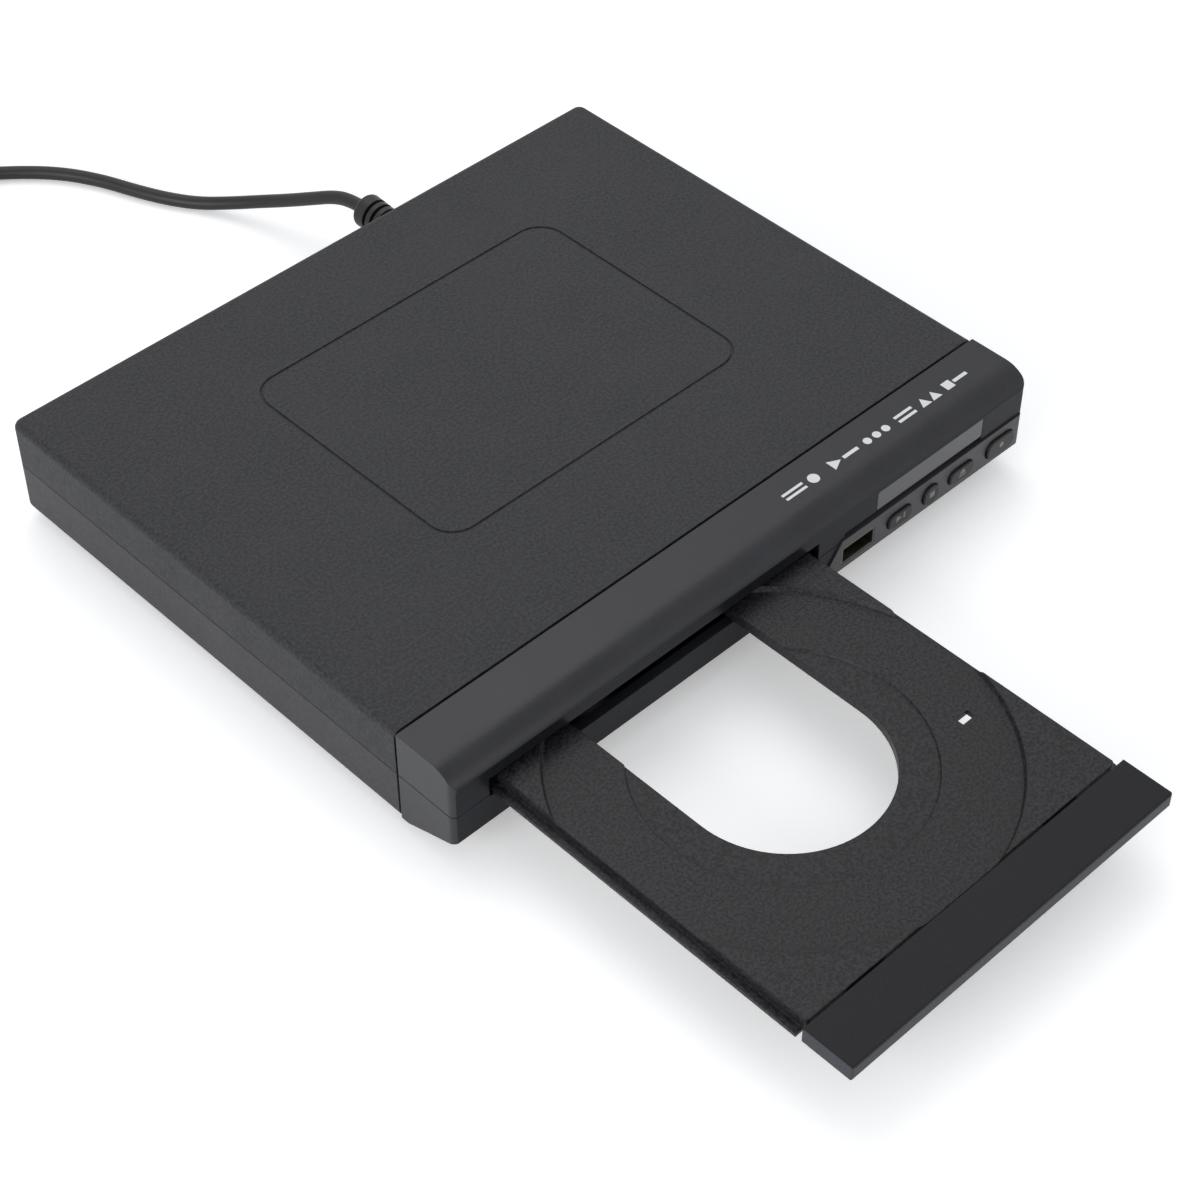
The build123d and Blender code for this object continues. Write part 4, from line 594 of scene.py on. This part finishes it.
# ------------------------------------------------------------------ printed marks
# Each mark is (kind, x, y or z, half width, half height), in millimetres, and print is
# kept on what lies beyond mark_face_z or before key_face_y.
mark_y = -28.9
mark_face_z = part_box("upper_bezel")[1].z / MM - 0.2
bezel_marks = [("bar", 26.0, mark_y + 0.9, 4.0, 0.45), ("bar", 26.0, mark_y - 0.9, 4.0, 0.45),
               ("disc", 33.6, mark_y, 1.8, 1.8), ("arrow", 42.6, mark_y, 2.0, 2.0),
               ("bar", 48.6, mark_y, 3.0, 0.6), ("disc", 55.5, mark_y, 1.3, 1.3),
               ("disc", 59.3, mark_y, 1.3, 1.3), ("disc", 63.1, mark_y, 1.3, 1.3),
               ("bar", 71.3, mark_y + 1.0, 3.6, 0.5), ("bar", 71.3, mark_y - 1.0, 3.6, 0.5),
               ("peak", 79.0, mark_y, 1.9, 1.7), ("peak", 83.4, mark_y, 1.9, 1.7),
               ("bar", 89.5, mark_y, 1.6, 1.6), ("bar", 94.6, mark_y, 2.8, 0.6)]

key_face_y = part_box("play_key")[0].y / MM + 0.3
(play_x, _, play_z), (stop_x, _, stop_z), (eject_x, _, eject_z), (standby_x, _, standby_z) = [
    [value / MM for value in middle_of(name)]
    for name in ("play_key", "stop_key", "eject_key", "standby_key")]
key_marks = [("arrow", play_x - 0.9, play_z, 1.1, 1.1),
             ("bar", play_x + 1.3, play_z, 0.28, 1.1),
             ("bar", stop_x, stop_z, 1.0, 1.0),
             ("peak", eject_x, eject_z + 0.6, 1.4, 0.9),
             ("bar", eject_x, eject_z - 1.0, 1.4, 0.25),
             ("disc", standby_x, standby_z, 0.9, 0.9)]

# ------------------------------------------------------------------ one look for each slot
spin_x, spin_y, _ = middle_of("turntable")
lens_x, lens_y, _ = middle_of("pickup_lens")
looks = {
    "lid": plastic("lid", (0.0148, 0.0154, 0.019), rough=0.55, specular=0.33, grain=1300,
                   relief=1.0, depth=0.0002, speck=0.55),
    "case": plastic("case", (0.021, 0.0208, 0.0255), rough=0.55, specular=0.42, grain=1700,
                    relief=0.7, depth=0.0001, speck=0.35),
    # The bezel's front faces carry painted shade: a lower specular level makes them darker.
    "bezel": plastic("bezel", (0.0118, 0.0123, 0.016), rough=0.33, specular=0.34, grain=2600,
                     relief=0.25, speck=0.2, painted_front_shade=0.08,
                     marks=(bezel_marks, "xy", ("z", "GREATER_THAN", mark_face_z))),
    "panel": plastic("panel", (0.029, 0.029, 0.034), rough=0.45, specular=0.45, grain=2200,
                     relief=0.3, speck=0.2),
    "window": plastic("window", (0.034, 0.034, 0.037), rough=0.18, specular=0.55, grain=3000,
                      relief=0.03, speck=0.03),
    "key": plastic("keys", (0.0075, 0.0075, 0.008), rough=0.42, specular=0.28, grain=2600,
                   relief=0.15, marks=(key_marks, "xz", ("y", "LESS_THAN", key_face_y)),
                   ink_tone=0.16),
    "tray": plastic("tray", (0.0105, 0.0107, 0.0125), rough=0.45, specular=0.27, grain=1500,
                    relief=0.6, depth=0.0001, mottle=0.2, speck=0.9, edge=0.00045),
    # The door's upright faces carry painted light: they are made lighter by a factor.
    "door": plastic("door", (0.0078, 0.008, 0.0098), rough=0.5, specular=0.2, grain=2600,
                    relief=0.3, speck=0.2, painted_side_light=4.5),
    "loader": plastic("loader", (0.012, 0.012, 0.0125), rough=0.6, specular=0.3),
    "gear": plastic("gears", (0.72, 0.71, 0.66), rough=0.4, specular=0.5, grain=1200,
                    relief=0.15, mottle=0.05),
    "belt": plastic("belt", (0.012, 0.012, 0.012), rough=0.7, specular=0.3),
    "motor_can": metal("motor_cans", (0.55, 0.55, 0.56)),
    "deck": plastic("deck", (0.02, 0.02, 0.021), rough=0.6, specular=0.3),
    "rod": metal("rods", (0.7, 0.7, 0.71), rough=0.2, brushed=(3000.0, 60.0, 3000.0)),
    "sled": plastic("sled", (0.03, 0.03, 0.032), rough=0.55, specular=0.35),
    "clamp": plastic("clamp", (0.025, 0.025, 0.026), rough=0.5, specular=0.35),
    "board": board_green("boards"),
    "chip": plastic("chips", (0.012, 0.012, 0.012), rough=0.55, specular=0.35),
    "digits": plastic("digits", (0.09, 0.01, 0.01), rough=0.25, specular=0.5),
    "capacitor": plastic("capacitors", (0.012, 0.014, 0.03), rough=0.3, specular=0.5),
    "transformer": plastic("transformer", (0.5, 0.36, 0.05), rough=0.45, specular=0.4),
    "sink": metal("heat_sink", (0.6, 0.6, 0.62), rough=0.4),
    "fuse": clear("fuse", (0.9, 0.92, 0.9), alpha=0.5),
    "usb_shell": metal("usb_shell", (0.13, 0.125, 0.1), rough=0.4),
    "jack": jack_material(),
    "screw": metal("screws", (0.42, 0.42, 0.43)),
    "foot": plastic("feet", (0.016, 0.016, 0.016), rough=0.8, specular=0.25, grain=900),
    "cord": plastic("cord", (0.0105, 0.0105, 0.0115), rough=0.42, specular=0.35, grain=1600,
                    relief=0.15),
    "tie": plastic("tie", (0.014, 0.014, 0.014), rough=0.45, specular=0.4),
    "plug": plastic("plug", (0.017, 0.017, 0.018), rough=0.5, specular=0.4, grain=1200,
                    relief=0.35),
    "blade": metal("blades", (0.78, 0.7, 0.5), rough=0.25),
    "turntable": banded("turntable", (spin_x, spin_y, 0),
                        [(7.4 * MM, (0.03, 0.03, 0.03)), (8.8 * MM, (0.02, 0.02, 0.02)),
                         (12.2 * MM, (0.09, 0.09, 0.085)), (20 * MM, (0.02, 0.02, 0.02))]),
    "lens": banded("lens", (lens_x, lens_y, 0),
                   [(2.3 * MM, (0.05, 0.03, 0.16)), (5.2 * MM, (0.02, 0.02, 0.022)),
                    (20 * MM, (0.04, 0.04, 0.04))], rough=0.3),
}

slot_of = {part["node"]: part["material_slot"] for part in frame["record"]["subparts"]}
for node, piece in frame["nodes"].items():
    piece.data.materials.clear()
    piece.data.materials.append(looks[slot_of[node]])
cord.data.materials.append(looks["cord"])

bpy.context.view_layer.update()
